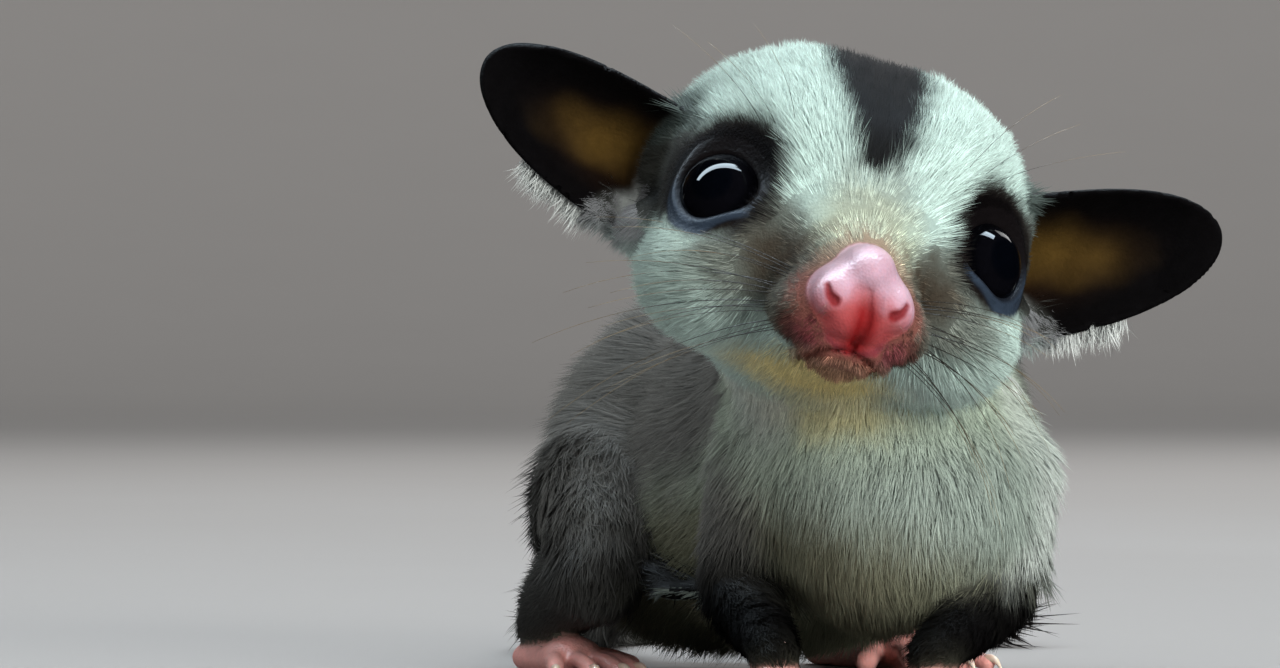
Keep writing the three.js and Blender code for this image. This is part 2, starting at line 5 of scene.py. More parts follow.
import bpy
import numpy as np
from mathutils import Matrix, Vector


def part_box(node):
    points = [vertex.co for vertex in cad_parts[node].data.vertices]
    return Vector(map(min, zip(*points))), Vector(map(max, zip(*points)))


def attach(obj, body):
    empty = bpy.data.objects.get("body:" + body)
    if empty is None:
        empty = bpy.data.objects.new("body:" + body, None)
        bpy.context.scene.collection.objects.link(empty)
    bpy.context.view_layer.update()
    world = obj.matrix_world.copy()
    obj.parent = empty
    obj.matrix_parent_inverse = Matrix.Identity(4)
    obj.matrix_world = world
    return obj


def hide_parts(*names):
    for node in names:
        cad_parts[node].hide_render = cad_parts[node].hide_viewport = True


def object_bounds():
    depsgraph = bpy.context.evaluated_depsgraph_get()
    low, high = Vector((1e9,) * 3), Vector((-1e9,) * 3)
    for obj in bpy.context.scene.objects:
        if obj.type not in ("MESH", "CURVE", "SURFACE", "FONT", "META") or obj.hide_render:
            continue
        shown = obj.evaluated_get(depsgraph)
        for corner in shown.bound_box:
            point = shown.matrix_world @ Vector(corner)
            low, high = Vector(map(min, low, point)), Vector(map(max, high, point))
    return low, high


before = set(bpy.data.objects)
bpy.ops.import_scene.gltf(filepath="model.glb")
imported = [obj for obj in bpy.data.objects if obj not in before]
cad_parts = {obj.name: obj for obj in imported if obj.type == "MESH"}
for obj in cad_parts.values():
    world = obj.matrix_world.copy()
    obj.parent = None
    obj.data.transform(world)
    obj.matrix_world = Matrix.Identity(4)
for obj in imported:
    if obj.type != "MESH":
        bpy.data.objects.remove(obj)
cad_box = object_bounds()
rng = np.random.default_rng(20)

MM = 0.001
SIDES = (("left", 1), ("right", -1))
UP = np.array([0.0, 0.0, 1.0])

# Driving sizes of the skin
VOXEL = 0.5  # the step of the grid that the skin is drawn on
HEAD_COAT = 0.75  # how far the coat stands off the skin, on the head and so on
NECK_COAT = 1.2
TORSO_COAT = 1.5
THIGH_COAT = 1.1
TAIL_CORE = 0.72  # the tail's skin as a share of its core in the solids
FLOOR_CLEAR = 0.02
EYE_RADIUS = 3.0
LID_THICKNESS = 0.22
SOCKET_DEPTH = 0.4  # how far the lids reach into the eyeball, where they can't be seen
EAR_THICKNESS = 0.74
DIGIT_RADIUS = 0.6
CLAW_LENGTH = 1.4
PAD_FLATNESS = 0.72
PAD_PRESS = 0.25  # how far palms and soles would reach below the floor before they are cut flat


# Small tools
def array(*values):
    return np.array(values, float)


def unit(v):
    return v / np.maximum(np.linalg.norm(v, axis=-1, keepdims=True), 1e-9)


def norm(v):
    return np.linalg.norm(v, axis=1)


def off_ball(p, centre, radii=(1, 1, 1)):
    """How far points are from a centre, as a share of the radii of a ball there."""
    return norm((p - array(*centre)) / array(*radii))


def smooth(low, high, x):
    t = np.clip((x - low) / (high - low), 0, 1)
    return t * t * (3 - 2 * t)


def mix(a, b, share):
    return a + (b - a) * share


def smin(a, b, softness):
    h = np.maximum(softness - abs(a - b), 0)
    return np.minimum(a, b) - h * h / (4 * softness)


def smax(a, b, softness):
    return -smin(-a, -b, softness)


def waves(p, size, seed):
    """Smooth noise, mostly from -1 to 1, of waves about as long as size."""
    draw = np.random.default_rng(seed)
    total = np.zeros(len(p))
    for _ in range(7):
        direction = unit(draw.normal(size=3))
        pitch = 2 * math.pi / (size * draw.uniform(0.7, 1.5))
        total += np.sin(p @ direction * pitch + draw.uniform(0, 2 * math.pi))
    return total / 4


# Frames of the head, the shoulders and the hips, each with +X to the animal's left and -Y forwards
def axes(place, turn, tilt=0.0):
    c, s = math.cos(math.radians(turn)), math.sin(math.radians(turn))
    about_z = array([c, -s, 0], [s, c, 0], [0, 0, 1])
    c, s = math.cos(math.radians(tilt)), math.sin(math.radians(tilt))
    about_y = array([c, 0, s], [0, 1, 0], [-s, 0, c])
    return about_y @ about_z, array(*place)


def into(p, place):
    turn, origin = place
    return (p - origin) @ turn


def out_of(p, place):
    turn, origin = place
    return np.asarray(p, float) @ turn.T + origin


HEAD = axes((-3.5, -14.6, 31), 7.9, 14.8)
SHOULDERS = axes((0.2, -6, 0), 4)
HIPS = axes((-11, 27, 0), 24)

EYE = array(8.4, -4.65, -0.4)
GAZE = unit(array(0.539, -0.77, 0.342))
eye_low, eye_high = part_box("eye_left")
SHIFT = array(*((eye_low + eye_high) / 2 / MM)) - out_of(EYE, HEAD)


def metres(p):
    return (np.asarray(p, float) + SHIFT) * MM


# Forms: a form gives the distance from each point to its surface, negative inside
def ball(centre, radii):
    centre, radii = array(*centre), array(*radii)

    def form(p):
        q = (p - centre) / radii
        near = norm(q)
        return near * (near - 1) / np.maximum(norm(q / radii), 1e-6)

    return form


def cone(start, end, start_radius, end_radius):
    start, axis = array(*start), array(*end) - array(*start)

    def form(p):
        t = np.clip((p - start) @ axis / (axis @ axis), 0, 1)
        nearest = start + t[:, None] * axis
        return norm(p - nearest) - mix(start_radius, end_radius, t)

    return form


def blend(softness, *forms):
    def form(p):
        d = forms[0](p)
        for other in forms[1:]:
            d = smin(d, other(p), softness)
        return d

    return form


def curve(points, shares):
    """Points on a centripetal Catmull-Rom curve, the curve that the solids use."""
    points = np.array(points, float)
    last = len(points) - 1
    held = np.vstack([2 * points[0] - points[1], points, 2 * points[-1] - points[-2]])
    place = np.clip(np.asarray(shares, float) * last, 0, last)
    k = np.minimum(place.astype(int), last - 1)
    t = (place - k)[:, None]
    a, b, c, d = (held[k + i] for i in range(4))
    ab, bc, cd = (np.linalg.norm(q - p, axis=1, keepdims=True) ** 0.5 for p, q in ((a, b), (b, c), (c, d)))
    leaving = ((b - a) / ab - (c - a) / (ab + bc) + (c - b) / bc) * bc
    reaching = ((c - b) / bc - (d - b) / (bc + cd) + (d - c) / cd) * bc
    cubic = 2 * b - 2 * c + leaving + reaching
    square = 3 * c - 3 * b - 2 * leaving - reaching
    return b + leaving * t + square * t**2 + cubic * t**3


STRAND_MARGIN = 4  # past this distance, a strand is taken as the ball round it


def strand(points, radii, steps=10, flat=1.0):
    """A round or flattened limb along a curve through a few points."""
    shares = np.linspace(0, 1, steps + 1)
    line = curve(points, shares)
    widths = np.interp(shares, np.linspace(0, 1, len(radii)), radii)
    scale = array(1, 1, 1 / flat)
    centre = (line.min(0) + line.max(0)) / 2
    reach = norm(line - centre).max() + max(radii)

    def form(p):
        far = norm(p - centre) - reach
        near = far < STRAND_MARGIN
        q = p[near] * scale
        best = np.full(len(q), 1e9)
        for a, b, ra, rb in zip(line[:-1] * scale, line[1:] * scale, widths[:-1], widths[1:]):
            axis = b - a
            t = np.clip((q - a) @ axis / (axis @ axis), 0, 1)
            best = np.minimum(best, norm(q - a - t[:, None] * axis) - mix(ra, rb, t))
        far[near] = best
        return far

    return form


def bounded(form, centre, radius, margin=5.0):
    """A form worked out near a ball only, and given as the distance to that ball elsewhere."""

    def near_form(p):
        d = norm(p - centre) - radius
        near = d < margin
        d[near] = form(p[near])
        return d

    return near_form


def leaves(form, start, direction, reach):
    """The point where a ray last leaves a form."""
    direction = unit(array(*direction))
    shares = np.arange(0, reach, 0.05)
    values = form(array(*start) + shares[:, None] * direction)
    return array(*start) + shares[np.nonzero(values < 0)[0].max()] * direction


def mirrored(p, softness=0.5):
    return np.column_stack([np.sqrt(p[:, 0] ** 2 + softness**2), p[:, 1], p[:, 2]])


# Head
skull = blend(
    3,
    ball((0, 2.8, -0.1), (12.6, 12, 11.1)),
    ball((3.8, 2.6, 0.5), (9, 11.4, 10.2)),
    ball((4.1, -4.2, 1.2), (5.2, 5.4, 6.3)),
    ball((0, -4.4, 0.8), (6.8, 6.2, 6.6)),
)
face = blend(
    2.2,
    skull,
    ball((7.4, -2.6, -5), (5.6, 7.2, 5.2)),
    cone((0, -6, -2.6), (0, -13.4, -4.7), 6.6, 3.2),
    ball((2.6, -12.2, -6), (2.9, 3.3, 2.4)),
    cone((0, -2, -6), (0, -12, -8.1), 5.2, 2),
)
eye_dish = ball(EYE + GAZE * 6.2, (5.2, 5.2, 5.2))
nose = blend(
    0.9,
    ball((0, -14.6, -2.7), (1.8, 2.7, 1.75)),
    ball((1.75, -15.2, -4.5), (1.5, 2.05, 1.75)),
    ball((0.5, -15.2, -6), (1.3, 1.75, 1.4)),
)
nostril_rim = ball((2.2, -16.1, -4.75), (1.0, 0.95, 1.0))
NOSE_TIP = array(0, -15.5, -4.5)


def plain_head(p):
    """The head's skin before its mouth, lids and nostrils."""
    q = mirrored(p)
    off_nose = norm(q - NOSE_TIP)
    off_eye = norm(q - EYE)
    coat = HEAD_COAT * mix(0.15, 1, smooth(2.5, 10, off_nose)) * mix(0.1, 1, smooth(3.2, 6.5, off_eye))
    furred = smax(face(q), -eye_dish(q), 1.4) + coat
    return smin(furred, smin(nose(mirrored(p, 0.2)), nostril_rim(q), 0.7), 0.6)


def on_nose(places, radii):
    """A cut along the front of the nose through a few places across and up it."""
    return strand([leaves(plain_head, (x, -11, z), (0, -1, 0), 9) for x, z in places], radii, 10)


nostril = on_nose([(2.6, -4.15), (2.35, -4.7), (1.95, -5.0)], [0.07, 0.17, 0.27])
FURROW = [(0.1, -3.9), (0.2, -4.7), (0.35, -5.7), (0.3, -6.7), (0.1, -7.5)]
furrow = on_nose(FURROW, [0.04, 0.18, 0.3, 0.38, 0.22])
MOUTH = [(5.4, -8.6, -8.6), (4.5, -11.2, -8.9), (2.9, -13.6, -8.5), (1.2, -15.2, -7.9), (0, -15.6, -7.7)]


def lip_line(rise, radii):
    """A strand along the mouth, a little above or below its line."""
    line = [leaves(plain_head, (0, -6, z + rise), (x, y + 6, 0), 14) for x, y, z in MOUTH]
    return strand(line, radii, 14)


mouth_groove = lip_line(0, [0.08, 0.12, 0.14, 0.15, 0.16])
upper_lip = lip_line(0.34, [0.05, 0.22, 0.3, 0.32, 0.3])
lower_lip = lip_line(-0.38, [0.05, 0.22, 0.32, 0.38, 0.4])

# The lids part in an oval that is pointed at the inner corner and flatter below it
MEDIAL = unit(array(-1, 0, 0) + GAZE[0] * GAZE)
BROW = np.cross(MEDIAL, GAZE)


def opening(turn):
    """How far the lids part from the gaze, in radians, all the way round."""
    corner = np.maximum(np.cos(turn), 0) ** 4
    flat_below = np.maximum(np.cos(turn + math.radians(68)), 0) ** 4
    return np.radians(57 + 8 * corner - 8 * flat_below + 2 * np.sin(turn))


def around_eye(q):
    """The way round the eye and the angle from its gaze, for points on the left half."""
    away = unit(q - EYE)
    return np.arctan2(away @ BROW, away @ MEDIAL), np.arccos(np.clip(away @ GAZE, -1, 1))


def lid_edge(q):
    """Distance to the rounded edge of the lids, which is thicker below and outside."""
    turn, angle = around_eye(q)
    below = np.maximum(-np.sin(turn + math.radians(25)), 0)
    thick = LID_THICKNESS * (1 + 0.35 * below)
    off = norm(q - EYE)
    return np.hypot((angle - opening(turn)) * off - thick, off - EYE_RADIUS - 0.1) - thick


def lidded(d, q):
    """The head's distance d with the lids round an eye and the socket behind them."""
    turn, angle = around_eye(q)
    off = norm(q - EYE)
    parted = (opening(turn) - angle) * off
    shell = smax(off - EYE_RADIUS - 0.36, parted, 0.2)
    d = smax(smin(d, shell, 0.9), parted, 0.3)
    d = smin(d, lid_edge(q), 0.25)
    return np.maximum(d, EYE_RADIUS - SOCKET_DEPTH - off)


def head_skin(p):
    d = plain_head(p)
    q = mirrored(p, 0.0)
    muzzle = off_ball(q, (2, -13.5, -7)) < 9
    if muzzle.any():
        m, dm = q[muzzle], d[muzzle]
        dm = smin(dm, smin(upper_lip(m), lower_lip(m), 0.3), 0.5)
        dm = smax(dm, -mouth_groove(m), 0.25)
        dm = smax(dm, -nostril(m), 0.25)
        d[muzzle] = smax(dm, -furrow(p[muzzle]), 0.35)
    off_eye = norm(q - EYE) - EYE_RADIUS
    eye = off_eye < 2.5
    if eye.any():
        d[eye] = lidded(d[eye], q[eye])
    return d


# Ears: a cupped leaf that opens forwards, from its root to its tip
EAR_ROOT = 11.4
EAR_REACH = 13.6
EAR_HALF_HEIGHT = 4.75
EAR_BLUNTNESS = 2.7  # the power in its outline
EAR_END = 0.995  # as far along as the outline is followed
EAR_POSE = {1: (math.radians(6), 1.05), -1: (0.0, 1.0)}


def ear_place(p, sign):
    """Shares along and across an ear for points in the head's frame, and the ear's size."""
    lift, size = EAR_POSE[sign]
    x, z = sign * p[:, 0] - EAR_ROOT, p[:, 2]
    reach = x * math.cos(lift) + z * math.sin(lift)
    height = z * math.cos(lift) - x * math.sin(lift)
    along = reach / (EAR_REACH * size)
    a = np.clip(along, 0, EAR_END)
    across = (height + 0.1 - 4 * a) / (EAR_HALF_HEIGHT * size)
    return along, across, size


def ear_sheet(p, sign):
    along, across, _ = ear_place(p, sign)
    a = np.clip(along, 0, EAR_END)
    b = np.clip(across / np.sqrt(1 - a**EAR_BLUNTNESS), -1, 1)
    folds = 0.09 * np.sin(a * 26) * smooth(0.12, 0.3, a) * smooth(0.95, 0.7, a) * (1 - b * b)
    flatter = smooth(1.0, 0.7, a)  # the cup runs out at the tip
    return 0.9 + (4.2 * (1 - a) + 0.9 * flatter) * (1 - b * b) + 1.2 * a - 0.6 * b * flatter + folds


def ear(sign):
    def form(q):
        along, across, size = ear_place(q, sign)
        step = 0.05
        y = ear_sheet(q, sign)
        slope_x = (ear_sheet(q + array(step, 0, 0), sign) - y) / step
        slope_z = (ear_sheet(q + array(0, 0, step), sign) - y) / step
        steepness = np.minimum(np.sqrt(1 + slope_x**2 + slope_z**2), 2.6)
        a = np.maximum(along, 0)
        leaf = across**2 + a**EAR_BLUNTNESS - 1
        high, long = EAR_HALF_HEIGHT * size, EAR_REACH * size
        rise = np.sqrt((2 * across / high) ** 2 + (EAR_BLUNTNESS * a ** (EAR_BLUNTNESS - 1) / long) ** 2)
        edge = leaf / np.maximum(rise, 0.12)
        half = EAR_THICKNESS / 2 * (1 + 0.45 * smooth(0.5, 0.1, along))
        sheet = abs(q[:, 1] - y) / steepness
        d = np.hypot(np.maximum(edge + half, 0), sheet) - half
        lobe = ball((sign * 12.3, -0.6, -3.3), (1.5, 1.3, 1.7))(q)
        d = smin(d, lobe, 1.2)
        return smax(d, -(along * EAR_REACH + 2.2), 0.3)

    return form


# Trunk and legs
torso = blend(
    5,
    ball((0.3, -5.8, 14.6), (10, 10.4, 11.4)),
    ball((-1, 4, 17), (11.2, 11, 12)),
    ball((-4.8, 15, 15), (12.2, 13, 13.6)),
    ball((-11, 27.5, 14.2), (12.4, 12.4, 13.4)),
)
neck = cone((-1.6, -2.5, 20), (-3.4, -9, 27), 9.6 - NECK_COAT, 9 - NECK_COAT)
SPINE = [(-3.4, -14, 30), (-1.6, -2, 24), (-1.6, 5, 20), (-5.5, 16, 18), (-10.5, 26, 16), (-14.5, 34, 11)]
FORELEG = {
    1: ([(6.6, 1.5, 14.5), (6.9, -0.5, 7.6), (1.6, -9.6, 3.3)], -8),
    -1: ([(-7.4, 1.5, 14.5), (-9.4, 4.2, 7.6), (-8.3, -6.2, 3.1)], 6),
}
TAIL = [
    (-14.5, 33.5, 10.5),
    (-18.2, 42, 6),
    (-21, 52, 3),
    (-20, 63, 2.35),
    (-13.5, 72, 2.2),
    (-3.5, 76.5, 2.1),
    (5.5, 73.5, 1.9),
    (9.5, 66, 1.7),
]
TAIL_RADII = [4.4, 3.4, 2.8, 2.6, 2.4, 2.1, 1.6, 0.8]


def hindleg(sign):
    thigh = blend(
        3,
        ball((sign * 9.4, -1.5, 11.6), (5.4, 7.8, 7.4)),
        ball((sign * 12, -6.6, 9.4), (4.2, 5, 5)),
    )
    shank_line = [(sign * 13, -8.6, 7.4), (sign * 12.7, -1.5, 5.2), (sign * 11.6, 4.6, 3.2)]
    shank = strand(shank_line, [3.1, 2.5, 1.7], 8)
    return lambda p: smin(thigh(p) + THIGH_COAT, shank(p), 1.5), shank_line


def pointing(heading):
    heading = math.radians(heading)
    return array(math.sin(heading), -math.cos(heading), 0), array(math.cos(heading), math.sin(heading), 0)


def digit(base, heading, length):
    """A finger or toe with its joints and tip pad, and the line that its claw follows."""
    forward, _ = pointing(heading)
    on = lambda reach, z: np.append((base + reach * forward)[:2], z)
    line = [on(0, 1.3), on(0.4 * length, 1.42), on(0.72 * length, 1.12), on(length, 0.68)]
    radii = [DIGIT_RADIUS * share for share in (1.05, 0.88, 1, 0.92)]
    claw = [on(0.98 * length, 0.95), on(1.12 * length, 0.98), on(length + CLAW_LENGTH, 0.25)]
    return strand(line, radii, 8), claw


def paw(pads, digits):
    """A palm or sole with its digits, each by its knuckle, heading and length, and its claws' lines."""
    forms, claws = zip(*(digit(*each) for each in digits))
    return blend(0.45, *pads, *forms), claws


def pad_height(radius):
    """The height of the middle of a palm or sole of this radius."""
    return radius * PAD_FLATNESS - PAD_PRESS


def hand(sign):
    joints, heading = FORELEG[sign]
    ahead, aside = pointing(heading)
    on = lambda distance, across, z: np.append((array(*joints[2]) + distance * ahead + across * aside)[:2], z)
    line = [on(-0.6, 0, 2.3), on(1.2, 0, pad_height(1.9)), on(3.2, 0, pad_height(1.8))]
    palm = strand(line, [1.35, 1.8, 1.7], 6, PAD_FLATNESS)
    knuckles = [(k, on(2.6 - 0.28 * k * k, 0.75 * k, 1.3)) for k in range(-2, 3)]
    fingers = [(place, heading + math.degrees(0.27 * k), 4.7 - 0.35 * k * k) for k, place in knuckles]
    return paw([palm], fingers)


# Across the foot, turn in radians and length of its clawed toes
TOES = ((-1.3, 0.25, 5.0), (-0.6, 0.12, 5.0), (0.5, -0.12, 5.6), (1.6, -0.38, 5.2))


def foot(sign):
    heel, middle = (sign * 11.5, 6, pad_height(1.7)), (sign * 12.3, 0, pad_height(1.85))
    sole = strand([heel, middle, (sign * 13.1, -4.6, pad_height(2.25))], [1.6, 1.75, 2.15], 8, PAD_FLATNESS)
    line = [(sign * 12, -2.2, 1.3), (sign * 10.4, -3.9, 1.3), (sign * 9.2, -5.4, 0.8)]
    big_toe = strand(line, [0.85, 0.8, 0.82], 6)
    knuckle = lambda across: array(sign * (13.1 + across), -5.4 + 0.3 * abs(across), 1.3)
    toes = [(knuckle(across), math.degrees(-turn * sign), length) for across, turn, length in TOES]
    return paw([sole, big_toe], toes)


def membrane_line(sign):
    """The gliding membrane's fold along the flank, from elbow to knee."""
    elbow = out_of(FORELEG[sign][0][1], SHOULDERS)
    knee = out_of((sign * 13, -8.8, 8), HIPS)
    along = (knee - elbow) * array(1, 1, 0)
    outwards = unit(np.cross(along, UP) * sign)
    line = []
    for t in np.linspace(0, 1, 8):
        height = 8.4 - 2 * math.sin(math.pi * t) + 0.5 * math.sin(5 * math.pi * t)
        middle = mix(elbow, knee, t) * array(1, 1, 0) + UP * height - 12 * outwards
        ripple = 0.35 * math.sin(4 * math.pi * t)
        line.append(leaves(torso, middle, outwards, 24) + outwards * ripple)
    return line


REGIONS = {}
CLAWS = []
TAIL_LINE = curve(TAIL, np.linspace(0, 1, 60))
MEMBRANE_LINES = {}
LIMB_LINES = {}


def in_frame(place, form):
    return lambda p: form(into(p, place))


REGIONS["head"] = in_frame(HEAD, bounded(head_skin, array(0, -1, -0.5), 17))
REGIONS["trunk"] = lambda p: smin(torso(p) + TORSO_COAT, neck(p), 5)
REGIONS["tail"] = strand(TAIL, [radius * TAIL_CORE for radius in TAIL_RADII], 44)
for side, sign in SIDES:
    REGIONS[f"ear_{side}"] = in_frame(HEAD, bounded(ear(sign), array(sign * 18, 3, 2), 9.5))
    joints, heading = FORELEG[sign]
    REGIONS[f"foreleg_{side}"] = in_frame(SHOULDERS, strand(joints, [4.1, 2.7, 1.55], 10))
    LIMB_LINES[f"foreleg_{side}"] = out_of(curve(joints, np.linspace(0, 1, 12)), SHOULDERS)
    thigh_and_shank, shank_line = hindleg(sign)
    REGIONS[f"hindleg_{side}"] = in_frame(HIPS, bounded(thigh_and_shank, array(sign * 11, -1, 9.5), 13))
    hip = (sign * 9.4, 2, 14)
    LIMB_LINES[f"hindleg_{side}"] = out_of(curve([hip, *shank_line], np.linspace(0, 1, 16)), HIPS)
    hand_form, claws = hand(sign)
    wrist = array(*joints[2])
    REGIONS[f"hand_{side}"] = in_frame(SHOULDERS, bounded(hand_form, wrist + 3 * pointing(heading)[0], 7, 2))
    CLAWS += [(SHOULDERS, claw) for claw in claws]
    foot_form, claws = foot(sign)
    REGIONS[f"foot_{side}"] = in_frame(HIPS, bounded(foot_form, array(sign * 12.5, -2, 1.5), 11, 2))
    CLAWS += [(HIPS, claw) for claw in claws]
    MEMBRANE_LINES[side] = membrane_line(sign)
    REGIONS[f"membrane_{side}"] = strand(MEMBRANE_LINES[side], [1.6, 2.3, 2.6, 2.3, 1.6], 16, 0.22)

# How softly each part grows out of the rest
SOFTNESS = {"head": 3, "tail": 3, "ear": 1.5, "foreleg": 2.6, "hindleg": 2.8}
SOFTNESS |= {"hand": 0.8, "foot": 1, "membrane": 0.9}


def skin_form(p):
    d = REGIONS["trunk"](p)
    for name, form in REGIONS.items():
        if name != "trunk":
            d = smin(d, form(p), SOFTNESS[name.split("_")[0]])
    eyes = norm(mirrored(into(p, HEAD), 0.0) - EYE) - EYE_RADIUS
    d = np.maximum(d, -SOCKET_DEPTH - eyes)
    return smax(d, FLOOR_CLEAR - p[:, 2], 0.1)


# Drawing the skin: surface nets on a grid, finer where it matters, settled on the form
BLOCK = 8
BLOCK_REACH = BLOCK * VOXEL * 0.87 * 1.35  # half a block's diagonal and a margin


def sampled(form, low, high):
    """The form on a grid, exact near the surface and only signed away from it."""
    blocks = np.ceil((high - low) / VOXEL / BLOCK).astype(int)
    middles = np.stack(np.meshgrid(*(np.arange(n) for n in blocks), indexing="ij"), -1).reshape(-1, 3)
    middle_values = form(low + (middles + 0.5) * BLOCK * VOXEL)
    values = np.sign(middle_values).reshape(blocks)
    values = values.repeat(BLOCK, 0).repeat(BLOCK, 1).repeat(BLOCK, 2).astype(np.float32)
    near = middles[abs(middle_values) < BLOCK_REACH]
    cell = np.stack(np.meshgrid(*[np.arange(BLOCK)] * 3, indexing="ij"), -1).reshape(-1, 3)
    for part in np.array_split(near, max(len(near) // 600, 1)):
        index = (part[:, None] * BLOCK + cell).reshape(-1, 3)
        values[tuple(index.T)] = form(low + index * VOXEL)
    return values


def surface_nets(values, low):
    inside = values < 0
    corners = np.array([(i, j, k) for i in (0, 1) for j in (0, 1) for k in (0, 1)])
    shape = np.array(values.shape) - 1
    view = lambda grid, c: grid[c[0] : c[0] + shape[0], c[1] : c[1] + shape[1], c[2] : c[2] + shape[2]]
    count = sum(view(inside, c).astype(np.int8) for c in corners)
    cells = np.argwhere((count > 0) & (count < 8))
    index = np.full(shape, -1)
    index[tuple(cells.T)] = np.arange(len(cells))
    total, crossings = np.zeros((len(cells), 3)), np.zeros(len(cells))
    for a in corners:
        for axis in range(3):
            if a[axis]:
                continue
            b = a + np.eye(3, dtype=int)[axis]
            va, vb = values[tuple((cells + a).T)], values[tuple((cells + b).T)]
            crossed = (va < 0) != (vb < 0)
            t = np.where(crossed, va / np.where(crossed, va - vb, 1), 0)
            total += np.where(crossed[:, None], a + t[:, None] * (b - a), 0)
            crossings += crossed
    points = low + VOXEL * (cells + total / crossings[:, None])
    faces = []
    for axis in range(3):
        step = np.eye(3, dtype=int)[axis]
        u, v = np.eye(3, dtype=int)[(axis + 1) % 3], np.eye(3, dtype=int)[(axis + 2) % 3]
        here = view(inside, (0, 0, 0))
        crossed = np.argwhere(here != view(inside, step))
        crossed = crossed[(crossed @ u > 0) & (crossed @ v > 0)]
        ring = [index[tuple((crossed - o).T)] for o in (0 * u, u, u + v, v)]
        quads = np.stack(ring, 1)
        flip = ~inside[tuple(crossed.T)]
        quads[flip] = quads[flip][:, ::-1]
        faces.append(quads)
    quads = np.vstack(faces)
    return points, np.vstack([quads[:, [0, 1, 2]], quads[:, [0, 2, 3]]])


def refined(points, faces, chosen):
    """Splits the chosen triangles in four, and those beside them to match."""
    sides = np.sort(np.stack([faces, np.roll(faces, -1, 1)], 2).reshape(-1, 2), 1)
    edges, of_side = np.unique(sides, axis=0, return_inverse=True)
    of_side = of_side.reshape(-1, 3)
    split = np.zeros(len(edges), bool)
    split[of_side[chosen].ravel()] = True
    middle = np.full(len(edges), -1)
    middle[split] = len(points) + np.arange(split.sum())
    points = np.vstack([points, points[edges[split]].mean(1)])
    m = middle[of_side]
    marks = (m >= 0).sum(1)
    made = [faces[marks == 0]]
    for count in (1, 2):
        for turn in range(3):
            f, n = np.roll(faces, -turn, 1), np.roll(m, -turn, 1)
            (a, b, c), (ab, bc, _) = f.T, n.T
            if count == 1:
                take = (marks == 1) & (ab >= 0)
                parts = [(a, ab, c), (ab, b, c)]
            else:
                take = (marks == 2) & (ab >= 0) & (bc >= 0)
                parts = [(ab, b, bc), (a, ab, bc), (a, bc, c)]
            made += [np.stack(part, 1)[take] for part in parts]
    whole = marks == 3
    (a, b, c), (ab, bc, ca) = faces[whole].T, m[whole].T
    made += [np.stack(part, 1) for part in ((a, ab, ca), (ab, b, bc), (ca, bc, c), (ab, bc, ca))]
    return points, np.vstack(made)


def slope(form, p, step=0.03):
    return np.stack([form(p + step * e) - form(p - step * e) for e in np.eye(3)], 1) / (2 * step)


def settled(points, faces, form, rounds):
    """Evens the mesh out and moves it onto the form."""
    edges = np.unique(np.sort(np.stack([faces, np.roll(faces, -1, 1)], 2).reshape(-1, 2), 1), axis=0)
    for _ in range(rounds):
        total = np.zeros_like(points)
        number = np.bincount(edges.ravel(), minlength=len(points))[:, None]
        for a, b in ((0, 1), (1, 0)):
            for axis in range(3):
                total[:, axis] += np.bincount(edges[:, a], points[edges[:, b], axis], len(points))
        points = mix(points, total / number, 0.5)
        for _ in range(2):
            grade = slope(form, points)
            length = np.maximum((grade**2).sum(1), 0.05)
            move = -(form(points) / length)[:, None] * grade
            far = np.linalg.norm(move, axis=1, keepdims=True)
            points = points + move * np.minimum(1, 0.3 / np.maximum(far, 1e-9))
    return points


def corner_normals(points, faces):
    a, b, c = (points[faces[:, k]] for k in range(3))
    across = np.cross(b - a, c - a)
    gathered = lambda axis: sum(np.bincount(faces[:, k], across[:, axis], len(points)) for k in range(3))
    return unit(np.stack([gathered(axis) for axis in range(3)], 1))


def draw_skin():
    low = array(*cad_box[0]) / MM - SHIFT - 1.2
    high = array(*cad_box[1]) / MM - SHIFT + 1.2
    points, faces = surface_nets(sampled(skin_form, low, high), low)
    points = settled(points, faces, skin_form, 1)
    centres = points[faces].mean(1)
    q = mirrored(into(centres, HEAD), 0.0)
    paws = [REGIONS[f"{part}_{side}"](centres) for part in ("hand", "foot") for side, _ in SIDES]
    ears = [REGIONS[f"ear_{side}"](centres) for side, _ in SIDES]
    fine = (norm(q - EYE) < 5) | (norm(q - NOSE_TIP) < 6.5)
    fine |= (np.min(paws, 0) < 0.25) | (np.min(ears, 0) < 0.2)
    points, faces = refined(points, faces, fine)
    points = settled(points, faces, skin_form, 2)
    q = mirrored(into(points[faces].mean(1), HEAD), 0.0)
    finest = abs(norm(q - EYE) - EYE_RADIUS) < 0.75
    finest &= (q - EYE) @ GAZE > 0
    finest |= norm(q - NOSE_TIP - array(0, -0.6, -0.8)) < 4.2
    points, faces = refined(points, faces, finest)
    points = settled(points, faces, skin_form, 1)
    return points, faces


# Regions: how far each point belongs to each part of the body
def belonging(p):
    names = list(REGIONS)
    distance = np.stack([REGIONS[name](p) for name in names], 1)
    weight = np.exp(-np.clip(distance - distance.min(1, keepdims=True), 0, 12) / 0.5)
    weight /= weight.sum(1, keepdims=True)
    return {name: weight[:, k] for k, name in enumerate(names)}


def part_of(shares, *words):
    """How far each point belongs to parts of these kinds, such as both hands."""
    return sum(share for name, share in shares.items() if name.split("_")[0] in words)


# Markings: colours of skin and coat, worked out from where a point is on the body
def colour(red_and_crease_shade, green, blue):
    c = array(red_and_crease_shade, green, blue) / 255
    return np.where(c <= 0.04045, c / 12.92, ((c + 0.055) / 1.055) ** 2.4)


